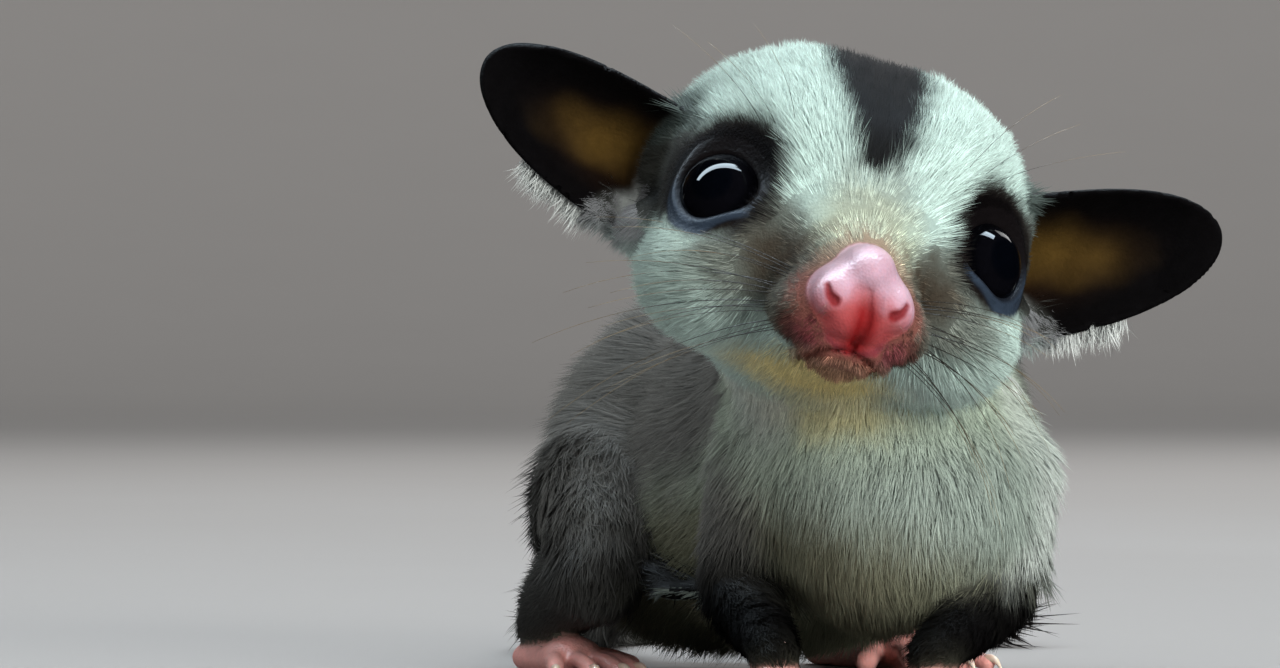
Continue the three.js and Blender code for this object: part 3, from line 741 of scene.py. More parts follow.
PALE = colour(200, 226, 218)
CREAM = colour(218, 226, 194)
BACK_GREY = colour(116, 116, 112)
STRIPE = colour(24, 23, 23)
EYE_RING = colour(16, 13, 14)
TEMPLE = colour(56, 52, 48)
MUZZLE_BROWN = colour(73, 61, 49)
MUZZLE_TAN = colour(156, 104, 90)
CHEST = colour(164, 178, 168)
BELLY_IN_PAINTED_SHADE = colour(116, 112, 84)
THROAT = colour(192, 208, 186)
CHIN = colour(244, 222, 142)
WHITE = colour(226, 232, 228)
NOSE_PINK = colour(180, 84, 86)
NOSE_PAINTED_HIGHLIGHT = colour(192, 166, 184)
LIP_PINK = colour(136, 60, 68)
LIP_PURPLE = colour(134, 80, 84)
DEEP_RED = colour(122, 14, 16)
PAW_PINK = colour(222, 158, 150)
LID_RIM_AND_SHEEN = colour(41, 51, 64)
EAR_BLACK = colour(9, 8, 9)
EAR_PAINTED_GLOW = colour(92, 70, 30)
EAR_RED = colour(32, 20, 11)
EAR_TUFT = colour(132, 134, 136)
TAIL_TIP = colour(38, 35, 34)


def along_line(p, line):
    """The point of a line nearest to each p: its share of the line, the way the line runs and the point."""
    gaps = norm(np.diff(line, axis=0))
    shares = np.append(0, np.cumsum(gaps)) / gaps.sum()
    best, share = np.full(len(p), 1e9), np.zeros(len(p))
    way, nearest = np.zeros((len(p), 3)), np.zeros((len(p), 3))
    for k, gap in enumerate(gaps):
        axis = (line[k + 1] - line[k]) / gap
        t = np.clip((p - line[k]) @ axis, 0, gap)
        place = line[k] + t[:, None] * axis
        away = norm(p - place)
        closer = away < best
        best = np.where(closer, away, best)
        share = np.where(closer, mix(shares[k], shares[k + 1], t / gap), share)
        way[closer] = axis
        nearest[closer] = place[closer]
    return share, way, nearest


SPINE_LINE = curve(SPINE, np.linspace(0, 1, 30))
STRIPE_ANGLES = (12, 18, 22, 26, 33, 49, 68, 85, 120, 180, 215, 240)
STRIPE_WIDTHS = (-3, -0.6, 0.9, 1.45, 1.9, 2.6, 3.2, 3.5, 3.3, 2.6, 2, -3)


def paint(tone, other, share):
    """One colour over another, by a share for each point."""
    return mix(tone, other, np.clip(share, 0, 1)[:, None])


def nose_halo(h):
    """The colour round the nose: tan above it and pinkish brown beside it."""
    above = smooth(-4.5, -1.5, h[:, 2])[:, None]
    return mix(mix(MUZZLE_TAN, LIP_PINK, 0.25), mix(MUZZLE_TAN, CREAM, 0.3), above)


# Ragged patches on both sides of the muzzle: colour, strength, centre, radii, raggedness, and edge to full
MUZZLE_PATCHES = (
    (BACK_GREY, 0.4, (0, -10.5, 2), (3.4, 4.5, 4.5), 0.4, (1.3, 0.4)),
    (mix(MUZZLE_BROWN, PALE, 0.1), 0.84, (7, -8.6, -4.2), (3.6, 4.2, 3), 0.3, (1.4, 0.5)),
    (MUZZLE_BROWN, 0.88, (4.4, -12.4, -4.8), (3.6, 3.8, 4), 0.3, (1.45, 0.7)),
    (MUZZLE_BROWN, 0.75, (5.4, -9.6, -1.9), (2.4, 2.8, 2.6), 0.3, (1.3, 0.6)),
)


def head_markings(p):
    h = into(p, HEAD)
    ragged = waves(h, 1.6, 3) * 0.35 + waves(h, 0.6, 4) * 0.2
    q = mirrored(h, 0.0)
    tone = paint(PALE, CREAM, 0.75 * smooth(5.5, 2.5, off_ball(h, (0, -13, -0.5)) + ragged))
    # The lower part of the head is painted a little greyer towards the bottom: painted shade.
    tone = paint(tone, CHEST, smooth(1, -7, h[:, 2]) * 0.25)
    for tint, strength, centre, radii, raggedness, (edge, full) in MUZZLE_PATCHES:
        away = off_ball(q, centre, radii) + ragged * raggedness
        tone = paint(tone, tint, strength * smooth(edge, full, away))
    chin = smooth(-8.2, -9.4, h[:, 2] + 0.4 * ragged) * smooth(4, -4, h[:, 1]) * smooth(7, 3, q[:, 0])
    tone = paint(tone, CHIN, 0.85 * chin)
    halo = smooth(2.0, 0.2, np.minimum(nose(q), nostril_rim(q)) + 0.5 * ragged) * smooth(-9.5, -12.5, h[:, 1])
    tone = paint(tone, nose_halo(h), 0.75 * halo)
    pads = off_ball(q, (1.6, -14.8, -7.1), (2.9, 2.6, 1.7)) + 0.2 * ragged
    pad_tone = mix(LIP_PINK, MUZZLE_BROWN, smooth(0.3, 1.3, pads)[:, None])
    tone = paint(tone, pad_tone, 0.9 * smooth(1.35, 0.9, pads))
    lip = off_ball(h, (0, -13.9, -9.5), (3.7, 3.0, 1.9)) + 0.2 * ragged
    tone = paint(tone, mix(LIP_PURPLE, CHIN, 0.12), 0.9 * smooth(1.2, 0.7, lip))
    # Dark red-brown along the mouth's groove: partly the lips' colour, partly painted shade in the crease.
    corner = smooth(0.75, 0.15, mouth_groove(q) + 0.2 * ragged) * smooth(-7.5, -9.5, h[:, 1])
    tone = paint(tone, mix(DEEP_RED, MUZZLE_BROWN, 0.5), 0.85 * corner)
    # The dark ring round each eye, with its point towards the nose and its bar back to the ear
    away = q - EYE
    medial, brow = away @ MEDIAL - 0.5, away @ BROW - 0.7
    bar = abs(brow - 0.4 + 0.12 * medial) + 0.8 * ragged
    tone = paint(tone, TEMPLE, 0.95 * smooth(4.4, 2.6, bar) * smooth(-1.5, -3.5, medial))
    root = np.minimum(REGIONS["ear_left"](p), REGIONS["ear_right"](p)) + 0.3 * ragged
    tone = paint(tone, EAR_BLACK, 0.85 * smooth(2.4, 0.5, root) * smooth(-3, -1, h[:, 2]))
    ring = np.hypot(medial / 4.7, brow / 4.2) + ragged * 0.1
    tone = paint(tone, mix(TEMPLE, EYE_RING, 0.4), smooth(1.16, 0.88, ring))
    tone = paint(tone, EYE_RING, smooth(0.98, 0.74, ring))
    nape = smooth(2.5, 7, h[:, 1] + ragged) * smooth(-4, 1, h[:, 2])
    tone = paint(tone, BACK_GREY, 0.95 * nape)
    angle = np.degrees(np.arctan2(h[:, 2], -h[:, 1])) % 360
    width = np.interp(angle, STRIPE_ANGLES, STRIPE_WIDTHS)
    # The stripe is painted darker still towards the top of the head, where the lamp above lights it most:
    # painted shade.
    dark = mix(STRIPE, EAR_BLACK, 0.8 * smooth(4, 10, h[:, 2])[:, None])
    tone = paint(tone, dark, smooth(0.9, -0.6, abs(h[:, 0] + 0.2) - width + ragged))
    # White below and behind each ear
    white = off_ball(q, (11.5, 4.5, -4), (3.2, 3.2, 3.6))
    return paint(tone, WHITE, smooth(1.2, 0.7, white + ragged * 0.2))


def body_markings(p, normal):
    ragged = waves(p, 3, 5) * 0.8 + waves(p, 1.1, 6) * 0.4
    share, way, nearest = along_line(p, SPINE_LINE)
    aside = abs(((p - nearest) * unit(np.cross(way, UP))).sum(1))
    low = smooth(0.15, -0.35, normal[:, 2] + 0.06 * ragged)
    below = np.maximum(low, smooth(8.2, 5.5, p[:, 2] + 0.5 * ragged))
    below = below * smooth(38, 30, p[:, 1] - 0.3 * p[:, 0])
    front = smooth(-1, -7.5, p[:, 1] + 0.6 * ragged) * smooth(27, 21, p[:, 2])
    # Chest and belly are painted darker and olive lower down: painted shade towards the floor.
    under = paint(CHEST, BELLY_IN_PAINTED_SHADE, 0.8 * smooth(13.5, 8, p[:, 2] + 0.3 * p[:, 0]))
    under = paint(under, THROAT, 0.85 * smooth(13, 19, p[:, 2] - 0.2 * p[:, 0]))
    warm = np.hypot((p[:, 0] + 3.5) / 6, (p[:, 2] - 20) / 3.5)
    under = paint(under, CHIN, 0.5 * smooth(1.2, 0.3, warm + 0.15 * ragged))
    tone = paint(BACK_GREY, under, np.maximum(below, front))
    shoulder = off_ball(mirrored(into(p, SHOULDERS), 0.0), (10, -5, 21), (4, 6, 6))
    tone = paint(tone, WHITE, 0.6 * smooth(1.2, 0.5, shoulder))
    stripe = smooth(2.5, 1.1, aside + 0.35 * ragged) * smooth(0.2, 0.6, normal[:, 2])
    tone = paint(tone, STRIPE, stripe * smooth(0.99, 0.9, share))
    # A dark patch low on the front, by the forelegs near the floor: painted shade.
    painted_shade_low_front = smooth(7.5, 2.5, p[:, 2]) * smooth(-2, -6, p[:, 1])
    return paint(tone, mix(BELLY_IN_PAINTED_SHADE, STRIPE, 0.7), 0.7 * painted_shade_low_front)


def sleeve(p):
    """The pale outer side of the left upper arm."""
    q = into(p, SHOULDERS)
    return smooth(5.5, 8, q[:, 0]) * smooth(6, 10, q[:, 2] + 0.5 * waves(p, 1.5, 41)) * smooth(6, 2, q[:, 1])


def markings(p, normal, shares):
    """The colour of every point, the same for skin and coat."""
    tone = body_markings(p, normal)
    tone = paint(tone, head_markings(p), smooth(0.15, 0.85, part_of(shares, "head", "ear")))
    legs = part_of(shares, "foreleg", "hindleg")
    leg_tone = paint(BACK_GREY, STRIPE, 0.75 * smooth(12, 7, p[:, 2]))
    leg_tone = paint(leg_tone, EAR_BLACK, part_of(shares, "foreleg") * smooth(10, 6, p[:, 2]) * 0.95)
    leg_tone = paint(leg_tone, mix(CHEST, WHITE, 0.5), sleeve(p))
    tone = paint(tone, leg_tone, legs)
    tone = paint(tone, STRIPE, part_of(shares, "membrane"))
    share, _, _ = along_line(p, TAIL_LINE)
    tail_tone = paint(BACK_GREY, TAIL_TIP, smooth(0.45, 0.85, share + 0.04 * waves(p, 3, 8)))
    return paint(tone, tail_tone, smooth(0.2, 0.8, part_of(shares, "tail")))


def lobe_fur(q):
    """Where the cheek's fur grows over the root of an ear's lower edge."""
    return smooth(1.25, 0.85, off_ball(q, (13.1, 1.2, -2.9), (2.5, 3.6, 2.6)))


def bare_markings(p, shares, tone):
    """Adds nose, lips, lids, ears, hands and feet. Gives the tone and what is bare, ear and lid."""
    h = into(p, HEAD)
    q = mirrored(h, 0.0)
    head = part_of(shares, "head")
    off_pad = np.minimum(nose(q), nostril_rim(q))
    pad = smooth(0.45, 0.05, off_pad) * smooth(-12.2, -13.2, h[:, 1]) * head
    off_mouth = off_ball(h, (0.2, -16, -6.9), (2.0, 2.6, 1.25))
    mouth = smooth(1.2, 0.85, off_mouth + 0.08 * waves(h, 0.8, 14)) * head
    lips = smooth(0.3, 0.05, np.minimum(upper_lip(q), lower_lip(q)))
    bare_face = np.maximum(pad, mouth)
    halo = smooth(3.2, 0.3, off_pad) * smooth(-9.5, -12.5, h[:, 1]) * head
    tone = paint(tone, nose_halo(h), 0.9 * halo)
    tone = paint(tone, mix(LIP_PINK, DEEP_RED, 0.2 * lips[:, None]), mouth)
    redder = 0.4 * smooth(-4.4, -6.4, h[:, 2] + 0.5 * waves(h, 1.4, 15))[:, None]
    tone = paint(tone, mix(NOSE_PINK, DEEP_RED, redder), pad)
    # The top of the nose and its wings are painted pale lavender: a painted highlight.
    crest_highlight = smooth(-5.4, -2.8, h[:, 2] + 0.35 * abs(h[:, 0]) + 0.3 * waves(h, 1.2, 16)) * pad
    crest_highlight *= 1 - 0.6 * smooth(1.4, 0.3, abs(h[:, 0])) * smooth(-3.2, -4.4, h[:, 2])
    tone = paint(tone, NOSE_PAINTED_HIGHLIGHT, 0.8 * crest_highlight)
    # Furrow, nostrils and the mouth's groove are painted deep red: partly the redder skin there, partly
    # painted shade in the creases.
    red_and_crease_shade = smooth(1.0, 0.0, furrow(h)) * smooth(-3.6, -5.4, h[:, 2])
    red_and_crease_shade = np.maximum(red_and_crease_shade, smooth(0.3, 0.0, np.minimum(nostril(q), mouth_groove(q))))
    red_and_crease_shade = red_and_crease_shade * bare_face
    tone = paint(tone, DEEP_RED, 0.9 * red_and_crease_shade)
    turn, angle = around_eye(q)
    beyond = (angle - opening(turn)) * EYE_RADIUS
    below = smooth(0.3, -0.5, np.sin(turn + math.radians(12)))
    wide = 0.2 + below * (0.25 + 0.3 * smooth(0.5, -0.5, np.cos(turn)))
    near_eye = smooth(1.2, 0.9, norm(q - EYE) - EYE_RADIUS) * head
    lid = smooth(0.1, -0.1, beyond - wide) * near_eye
    tone = paint(tone, EYE_RING, lid)
    # The lower lid's rim is painted bluish: partly the rim's own colour, partly a painted wet sheen.
    edge = lid * below * smooth(-0.12, 0.08, beyond) * smooth(wide, wide - 0.25, beyond)
    tone = paint(tone, LID_RIM_AND_SHEEN, edge)
    paw = smooth(0.3, 0.8, part_of(shares, "hand", "foot"))
    tone = paint(tone, PAW_PINK, paw)
    eared = np.zeros(len(p))
    for side, sign in SIDES:
        share = smooth(0.35, 0.85, shares[f"ear_{side}"]) * (1 - lobe_fur(q))
        along, across, _ = ear_place(h, sign)
        inner = smooth(0.15, -0.15, h[:, 1] - ear_sheet(h, sign))
        leaf = paint(EAR_BLACK, EAR_RED, 0.8 * smooth(0.85, 0.2, np.hypot(along, across)) * inner)
        # An amber painted glow near the ear's base on its inner side, where light would shine through the
        # thin ear.
        glow = np.hypot((along - 0.24) / 0.46, (across - 0.12 + 0.5 * (along - 0.3)) / 0.52)
        glow += 0.12 * waves(h, 3.0, 12)
        leaf = paint(leaf, EAR_PAINTED_GLOW, 0.7 * smooth(1.15, 0.0, glow) * inner)
        tone = paint(tone, leaf, share)
        eared = np.maximum(eared, share)
    return tone, np.maximum.reduce([bare_face, lid, paw]), eared, lid


# Lie of the coat
def laid(way, normal):
    """A way laid flat on the skin."""
    return unit(way - (way * normal).sum(1, keepdims=True) * normal)


def lie_of(p, normal, shares):
    h = into(p, HEAD)
    q = mirrored(h, 0.0)
    turn = HEAD[0]
    from_nose = unit(q - array(0, -14.5, -3.5)) + array(0, 0.35, -0.1)
    off_eye = q - EYE
    eye_near = smooth(6.5, 3.2, norm(off_eye))[:, None]
    way = from_nose + 1.6 * eye_near * unit(off_eye)
    way[:, 0] *= np.where(h[:, 0] < 0, -1, 1)
    total = (way @ turn.T) * part_of(shares, "head")[:, None]
    _, along, _ = along_line(p, SPINE_LINE)
    back = along + 0.5 * array(0, 0, -1) * (1 - abs(normal[:, 2:3]))
    chest = smooth(-4, -9, p[:, 1])[:, None]
    back = mix(back, array(0, 0.15, -1), chest)
    total += back * part_of(shares, "trunk")[:, None]
    for name, line in LIMB_LINES.items():
        _, along, _ = along_line(p, line)
        paw = name.replace("foreleg", "hand").replace("hindleg", "foot")
        total += along * (shares[name] + shares[paw])[:, None]
    _, along, _ = along_line(p, TAIL_LINE)
    total += along * shares["tail"][:, None]
    for side, sign in SIDES:
        total += sign * turn[:, 0] * shares[f"ear_{side}"][:, None]
        _, along, _ = along_line(p, np.array(MEMBRANE_LINES[side]))
        total += (along + array(0, 0, -0.4)) * shares[f"membrane_{side}"][:, None]
    total += 0.22 * np.stack([waves(p, 5, 30 + k) for k in range(3)], 1)
    return laid(total, normal)


# Meshes
def placed(name, data):
    """A new object in the scene."""
    made = bpy.data.objects.new(name, data)
    bpy.context.scene.collection.objects.link(made)
    return made


def new_mesh(name, points, faces, slot, materials, face_material=None):
    """A piece of triangles, placed in metres, with its finish and the body that it rides on."""
    data = bpy.data.meshes.new(name)
    data.vertices.add(len(points))
    data.vertices.foreach_set("co", metres(points).astype(np.float32).ravel())
    data.loops.add(faces.size)
    data.loops.foreach_set("vertex_index", faces.astype(np.int32).ravel())
    data.polygons.add(len(faces))
    data.polygons.foreach_set("loop_start", np.arange(0, faces.size, faces.shape[1], dtype=np.int32))
    if face_material is not None:
        data.polygons.foreach_set("material_index", face_material.astype(np.int32))
    data.update(calc_edges=True)
    data.shade_smooth()
    for material in materials:
        data.materials.append(material)
    piece = placed(name, data)
    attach(piece, "root")
    return piece


def give(piece, name, values):
    """Keeps a number or a colour for each point of a piece, for its material to read."""
    if values.ndim == 2:
        field = piece.data.attributes.new(name, "FLOAT_COLOR", "POINT")
        whole = np.column_stack([values, np.ones(len(values))])
        field.data.foreach_set("color", whole.astype(np.float32).ravel())
    else:
        field = piece.data.attributes.new(name, "FLOAT", "POINT")
        field.data.foreach_set("value", values.astype(np.float32))


# Materials
def node(tree, kind, **settings):
    made = tree.nodes.new("ShaderNode" + kind)
    for key, value in settings.items():
        setattr(made, key, value)
    return made


def noise(tree, scale, detail):
    """Noise over the object, with scale in features a millimetre."""
    grain = node(tree, "TexNoise")
    grain.inputs["Scale"].default_value = scale / MM
    grain.inputs["Detail"].default_value = detail
    tree.links.new(node(tree, "TexCoord").outputs["Object"], grain.inputs["Vector"])
    return grain.outputs["Fac"]


def toned(name, shades, **settings):
    """A material that shows each point's tone, shaded from low to high by its attributes and by noise."""
    made = bpy.data.materials.new(name)
    made.use_nodes = True
    tree = made.node_tree
    shader = tree.nodes["Principled BSDF"]
    for key, value in settings.items():
        shader.inputs[key.replace("_", " ")].default_value = value
    tone = node(tree, "Attribute", attribute_name="tone").outputs["Color"]
    for source, low, high in shades:
        if isinstance(source, str):
            value = node(tree, "Attribute", attribute_name=source).outputs["Fac"]
        else:
            value = noise(tree, *source)
        ranged = node(tree, "MapRange")
        ranged.inputs["To Min"].default_value = low
        ranged.inputs["To Max"].default_value = high
        scaled = node(tree, "VectorMath", operation="SCALE")
        tree.links.new(value, ranged.inputs["Value"])
        tree.links.new(tone, scaled.inputs[0])
        tree.links.new(ranged.outputs[0], scaled.inputs["Scale"])
        tone = scaled.outputs[0]
    tree.links.new(tone, shader.inputs["Base Color"])
    return made


def bumped(made, height, distance, strength=1.0):
    """The material with a height in relief, at a distance in millimetres."""
    tree = made.node_tree
    bump = node(tree, "Bump")
    bump.inputs["Distance"].default_value = distance * MM
    bump.inputs["Strength"].default_value = strength
    tree.links.new(height, bump.inputs["Height"])
    tree.links.new(bump.outputs[0], tree.nodes["Principled BSDF"].inputs["Normal"])
    return made


def coat_material():
    shades = [("along", 0.76, 1.08), ("chance", 0.8, 1.14), ((3, 3), 0.85, 1.12)]
    return toned("coat", shades, Roughness=0.6, Specular_IOR_Level=0.05)


def furred_skin_material():
    """The hide under the coat, with fine hair in relief."""
    made = toned("furred_skin", [((4, 4), 0.75, 1.2)], Roughness=0.75, Specular_IOR_Level=0.05)
    return bumped(made, noise(made.node_tree, 6, 4), 0.12)


def bare_skin_material():
    """Moist skin with blotches, pores and fine creases between cells."""
    soft = {"Subsurface_Weight": 0.2, "Subsurface_Scale": 0.0004, "Subsurface_Radius": (1.0, 0.35, 0.25)}
    moist = {"Roughness": 0.45, "Specular_IOR_Level": 0.35, "Coat_Weight": 0.1, "Coat_Roughness": 0.3}
    made = toned("bare_skin", [((1.1, 3), 0.8, 1.18), ((7, 2), 0.92, 1.06)], **soft, **moist)
    tree = made.node_tree
    cells = node(tree, "TexVoronoi")
    cells.inputs["Scale"].default_value = 5 / MM
    tree.links.new(node(tree, "TexCoord").outputs["Object"], cells.inputs["Vector"])
    return bumped(made, cells.outputs["Distance"], 0.05, 0.6)


def dark_skin_material(name, roughness, shine):
    made = toned(name, [((1.4, 4), 0.7, 1.3)], Roughness=roughness, Specular_IOR_Level=shine)
    return bumped(made, noise(made.node_tree, 4.5, 4), 0.06)


# Skin
FURRED, BARE, EARED, LIDS = 0, 1, 2, 3
UNDERCOAT_SHADE = 0.62


def make_skin(points, faces, normals, shares):
    tone = markings(points, normals, shares)
    tone, bare, eared, lid = bare_markings(points, shares, tone)
    kind = np.full(len(faces), FURRED)
    kind[bare[faces].mean(1) > 0.5] = BARE
    kind[eared[faces].mean(1) > 0.5] = EARED
    kind[lid[faces].mean(1) > 0.5] = LIDS
    looks = [furred_skin_material(), bare_skin_material(), dark_skin_material("ear_leather", 0.6, 0.08)]
    looks.append(dark_skin_material("lid_edge", 0.45, 0.12))
    skin = new_mesh("skin", points, faces, "pink_skin", looks, kind)
    hidden = smooth(0.6, 0.1, np.maximum(bare, eared))
    give(skin, "tone", tone * mix(1, UNDERCOAT_SHADE, hidden)[:, None])
    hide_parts(*[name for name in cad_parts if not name.startswith("eye_")])
    return bare, eared


# Eyes
CORNEA_BULGE = 0.1


def make_eyes():
    look = toned("eye_gloss", [((2.5, 5), 0.6, 1.5)], Roughness=0.03, IOR=1.25)
    pupil, iris, rim = colour(2, 3, 6), colour(6, 6, 9), colour(3, 3, 5)
    rings, sectors = 48, 64
    for side, sign in SIDES:
        flip = array(sign, 1, 1)
        gaze, medial, brow = GAZE * flip, MEDIAL * flip, BROW * flip
        polar = np.linspace(0, math.pi, rings + 1)[1:-1]
        turn = np.linspace(0, 2 * math.pi, sectors, endpoint=False)
        a, b = (grid.ravel() for grid in np.meshgrid(polar, turn, indexing="ij"))
        across = np.cos(b)[:, None] * medial + np.sin(b)[:, None] * brow
        away = np.cos(a)[:, None] * gaze + np.sin(a)[:, None] * across
        away = np.vstack([gaze, away, -gaze])
        a = np.concatenate([[0], a, [math.pi]])
        radius = EYE_RADIUS - 0.02 + CORNEA_BULGE * smooth(0.75, 0.0, a)
        points = out_of(EYE * flip + away * radius[:, None], HEAD)
        index = 1 + np.arange((rings - 1) * sectors).reshape(rings - 1, sectors)
        turned = np.roll(index, -1, 1)
        bands = np.stack([index[:-1], index[1:], turned[1:], turned[:-1]], -1).reshape(-1, 4)
        triangles = np.vstack([bands[:, [0, 1, 2]], bands[:, [0, 2, 3]]])
        last = len(points) - 1
        front = np.stack([np.zeros(sectors, int), index[0], turned[0]], 1)
        back = np.stack([np.full(sectors, last), turned[-1], index[-1]], 1)
        faces = np.vstack([triangles, front, back])
        if sign > 0:
            faces = faces[:, ::-1]
        eye = new_mesh(f"eyeball_{side}", points, faces, "eye", [look])
        angle = np.degrees(a)
        tones = paint(pupil, iris, smooth(24, 30, angle))
        give(eye, "tone", paint(tones, rim, smooth(42, 50, angle)))
        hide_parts(f"eye_{side}")


# Tubes: claws and whiskers
def tubes(lines, radii, sides):
    """Closed tapering tubes, each along its own line of points."""
    count, stations = len(lines), lines.shape[1]
    way = unit(np.gradient(lines, axis=1))
    across = unit(np.cross(way, UP + 1e-3))
    over = np.cross(across, way)
    turn = 2 * math.pi * np.arange(sides) / sides
    ring = np.cos(turn)[:, None] * across[:, :, None, :] + np.sin(turn)[:, None] * over[:, :, None, :]
    points = lines[:, :, None, :] + ring * radii[:, :, None, None]
    points = points.reshape(count, -1, 3)
    points = np.concatenate([points, lines[:, :1], lines[:, -1:]], 1)
    faces = []
    at = lambda station, side: station * sides + side % sides
    start, end = stations * sides, stations * sides + 1
    for k in range(sides):
        faces += [(start, at(0, k + 1), at(0, k)), (end, at(stations - 1, k), at(stations - 1, k + 1))]
        for s in range(stations - 1):
            faces += [(at(s, k), at(s, k + 1), at(s + 1, k)), (at(s, k + 1), at(s + 1, k + 1), at(s + 1, k))]
    faces = np.array(faces) + np.arange(count)[:, None, None] * points.shape[1]
    return points.reshape(-1, 3), faces.reshape(-1, 3)


def make_tubes(name, lines, radii, sides, slot, look, shares):
    """A piece of tubes, and how far along it each point of one tube is."""
    points, faces = tubes(lines, radii, sides)
    piece = new_mesh(name, points, faces, slot, [look])
    return piece, np.concatenate([np.repeat(shares, sides), [0, 1]])


def make_claws():
    soft = {"Subsurface_Weight": 0.2, "Subsurface_Scale": 0.0003}
    look = toned("claw_horn", [((5, 2), 0.85, 1.1)], Roughness=0.3, **soft)
    shares = np.linspace(0, 1, 9)
    lines = np.array([out_of(curve(claw, shares), place) for place, claw in CLAWS])
    radii = np.broadcast_to(0.36 * (1 - shares**1.6) + 0.03, lines.shape[:2])
    claws, share = make_tubes("claws", lines, radii, 8, "pink_skin", look, shares)
    horn = paint(colour(206, 168, 150), colour(236, 226, 208), share)
    give(claws, "tone", np.tile(horn, (len(lines), 1)))


def make_whiskers():
    look = toned("whisker", [((2, 2), 0.8, 1.2)], Roughness=0.4)
    draw = np.random.default_rng(5)
    shares = np.linspace(0, 1, 14)
    lines, widths = [], []

    def grow(root, way, length, droop, thick):
        line = root + np.outer(shares * length, way) + np.outer(shares**2 * length, droop)
        lines.append(out_of(line, HEAD))
        widths.append(thick * (1 - 0.75 * shares))

    for _, sign in SIDES:
        flip = array(sign, 1, 1)
        for row in range(4):
            for k in range(4):
                start = array(0, -9 - 0.5 * k, -3.8 - 0.95 * row + 0.2 * k)
                aim = array(1, -0.62 + 0.12 * k, -0.1 - 0.04 * row)
                root = leaves(plain_head, start, aim, 12)
                forwards = 0.05 + 0.18 * k + draw.normal(0, 0.08)
                way = unit(array(1, forwards, 0.25 - 0.24 * row + draw.normal(0, 0.08)))
                length = draw.uniform(9, 13) + 1.6 * k
                droop = array(-0.12, 0.28, -0.22 + draw.normal(0, 0.06))
                grow((root - way * 0.3) * flip, way * flip, length, droop * flip, draw.uniform(0.028, 0.04))
        for k in range(3):
            root = leaves(plain_head, (5, -3, 3.6), (0.15 + 0.3 * k, -1, 0.35), 14)
            way = unit(array(0.3 + 0.3 * k, -0.35, 0.9 + draw.normal(0, 0.1)))
            droop = array(0.25, 0.45, -0.1)
            grow((root - way * 0.3) * flip, way * flip, draw.uniform(6, 9), droop * flip, 0.02)
    lines, widths = np.array(lines), np.array(widths)
    whiskers, share = make_tubes("whiskers", lines, widths, 5, "dark_coat", look, shares)
    each = paint(colour(36, 32, 28), colour(150, 130, 96), smooth(0.35, 0.95, share))
    give(whiskers, "tone", np.tile(each, (len(lines), 1)))


# Coat
# The corners of a tuft's triangles: three at its root, three more where it bends, and its tip
STRAIGHT_TUFT = ((0, 1, 2), (0, 3, 1), (1, 3, 2), (2, 3, 0))
BENT_TUFT = ((0, 1, 2), (0, 3, 1), (1, 3, 4), (1, 4, 2), (2, 4, 5), (2, 5, 0), (0, 5, 3))
BENT_TUFT += ((3, 6, 4), (4, 6, 5), (5, 6, 3))
MOST_TRIANGLES = 192000  # in one piece of the coat


def sow(points, faces, density):
    """Roots spread over the skin: the face of each, and its share of each corner."""
    a, b, c = (points[faces[:, k]] for k in range(3))
    area = norm(np.cross(b - a, c - a)) / 2
    filled = np.cumsum(area * density[faces].mean(1))
    count = int(filled[-1])
    face = np.searchsorted(filled, (np.arange(count) + rng.random(count)) * filled[-1] / count)
    face = np.minimum(face, len(faces) - 1)
    share = rng.dirichlet((1, 1, 1), count)
    return face, share


def unwrapped(p, normal):
    """The place of each root on an unwrap of the piece's shape: six sides, each flat in its own tile."""
    low, high = p.min(0), p.max(0)
    axis = abs(normal).argmax(1)
    side = (normal[np.arange(len(p)), axis] > 0).astype(int)
    flat = (p - low) / (high - low)
    u = np.where(axis == 0, flat[:, 1], flat[:, 0])
    v = np.where(axis == 2, flat[:, 1], flat[:, 2])
    return np.stack([(axis + 0.04 + 0.92 * u) / 3, (side + 0.04 + 0.92 * v) / 2], 1)


PATCH = 0.003  # the size of a tuft's patch on the bake map
ROOT_DEPTH = 0.22  # how deep in the skin a tuft starts
CLUMP_SEED = 50


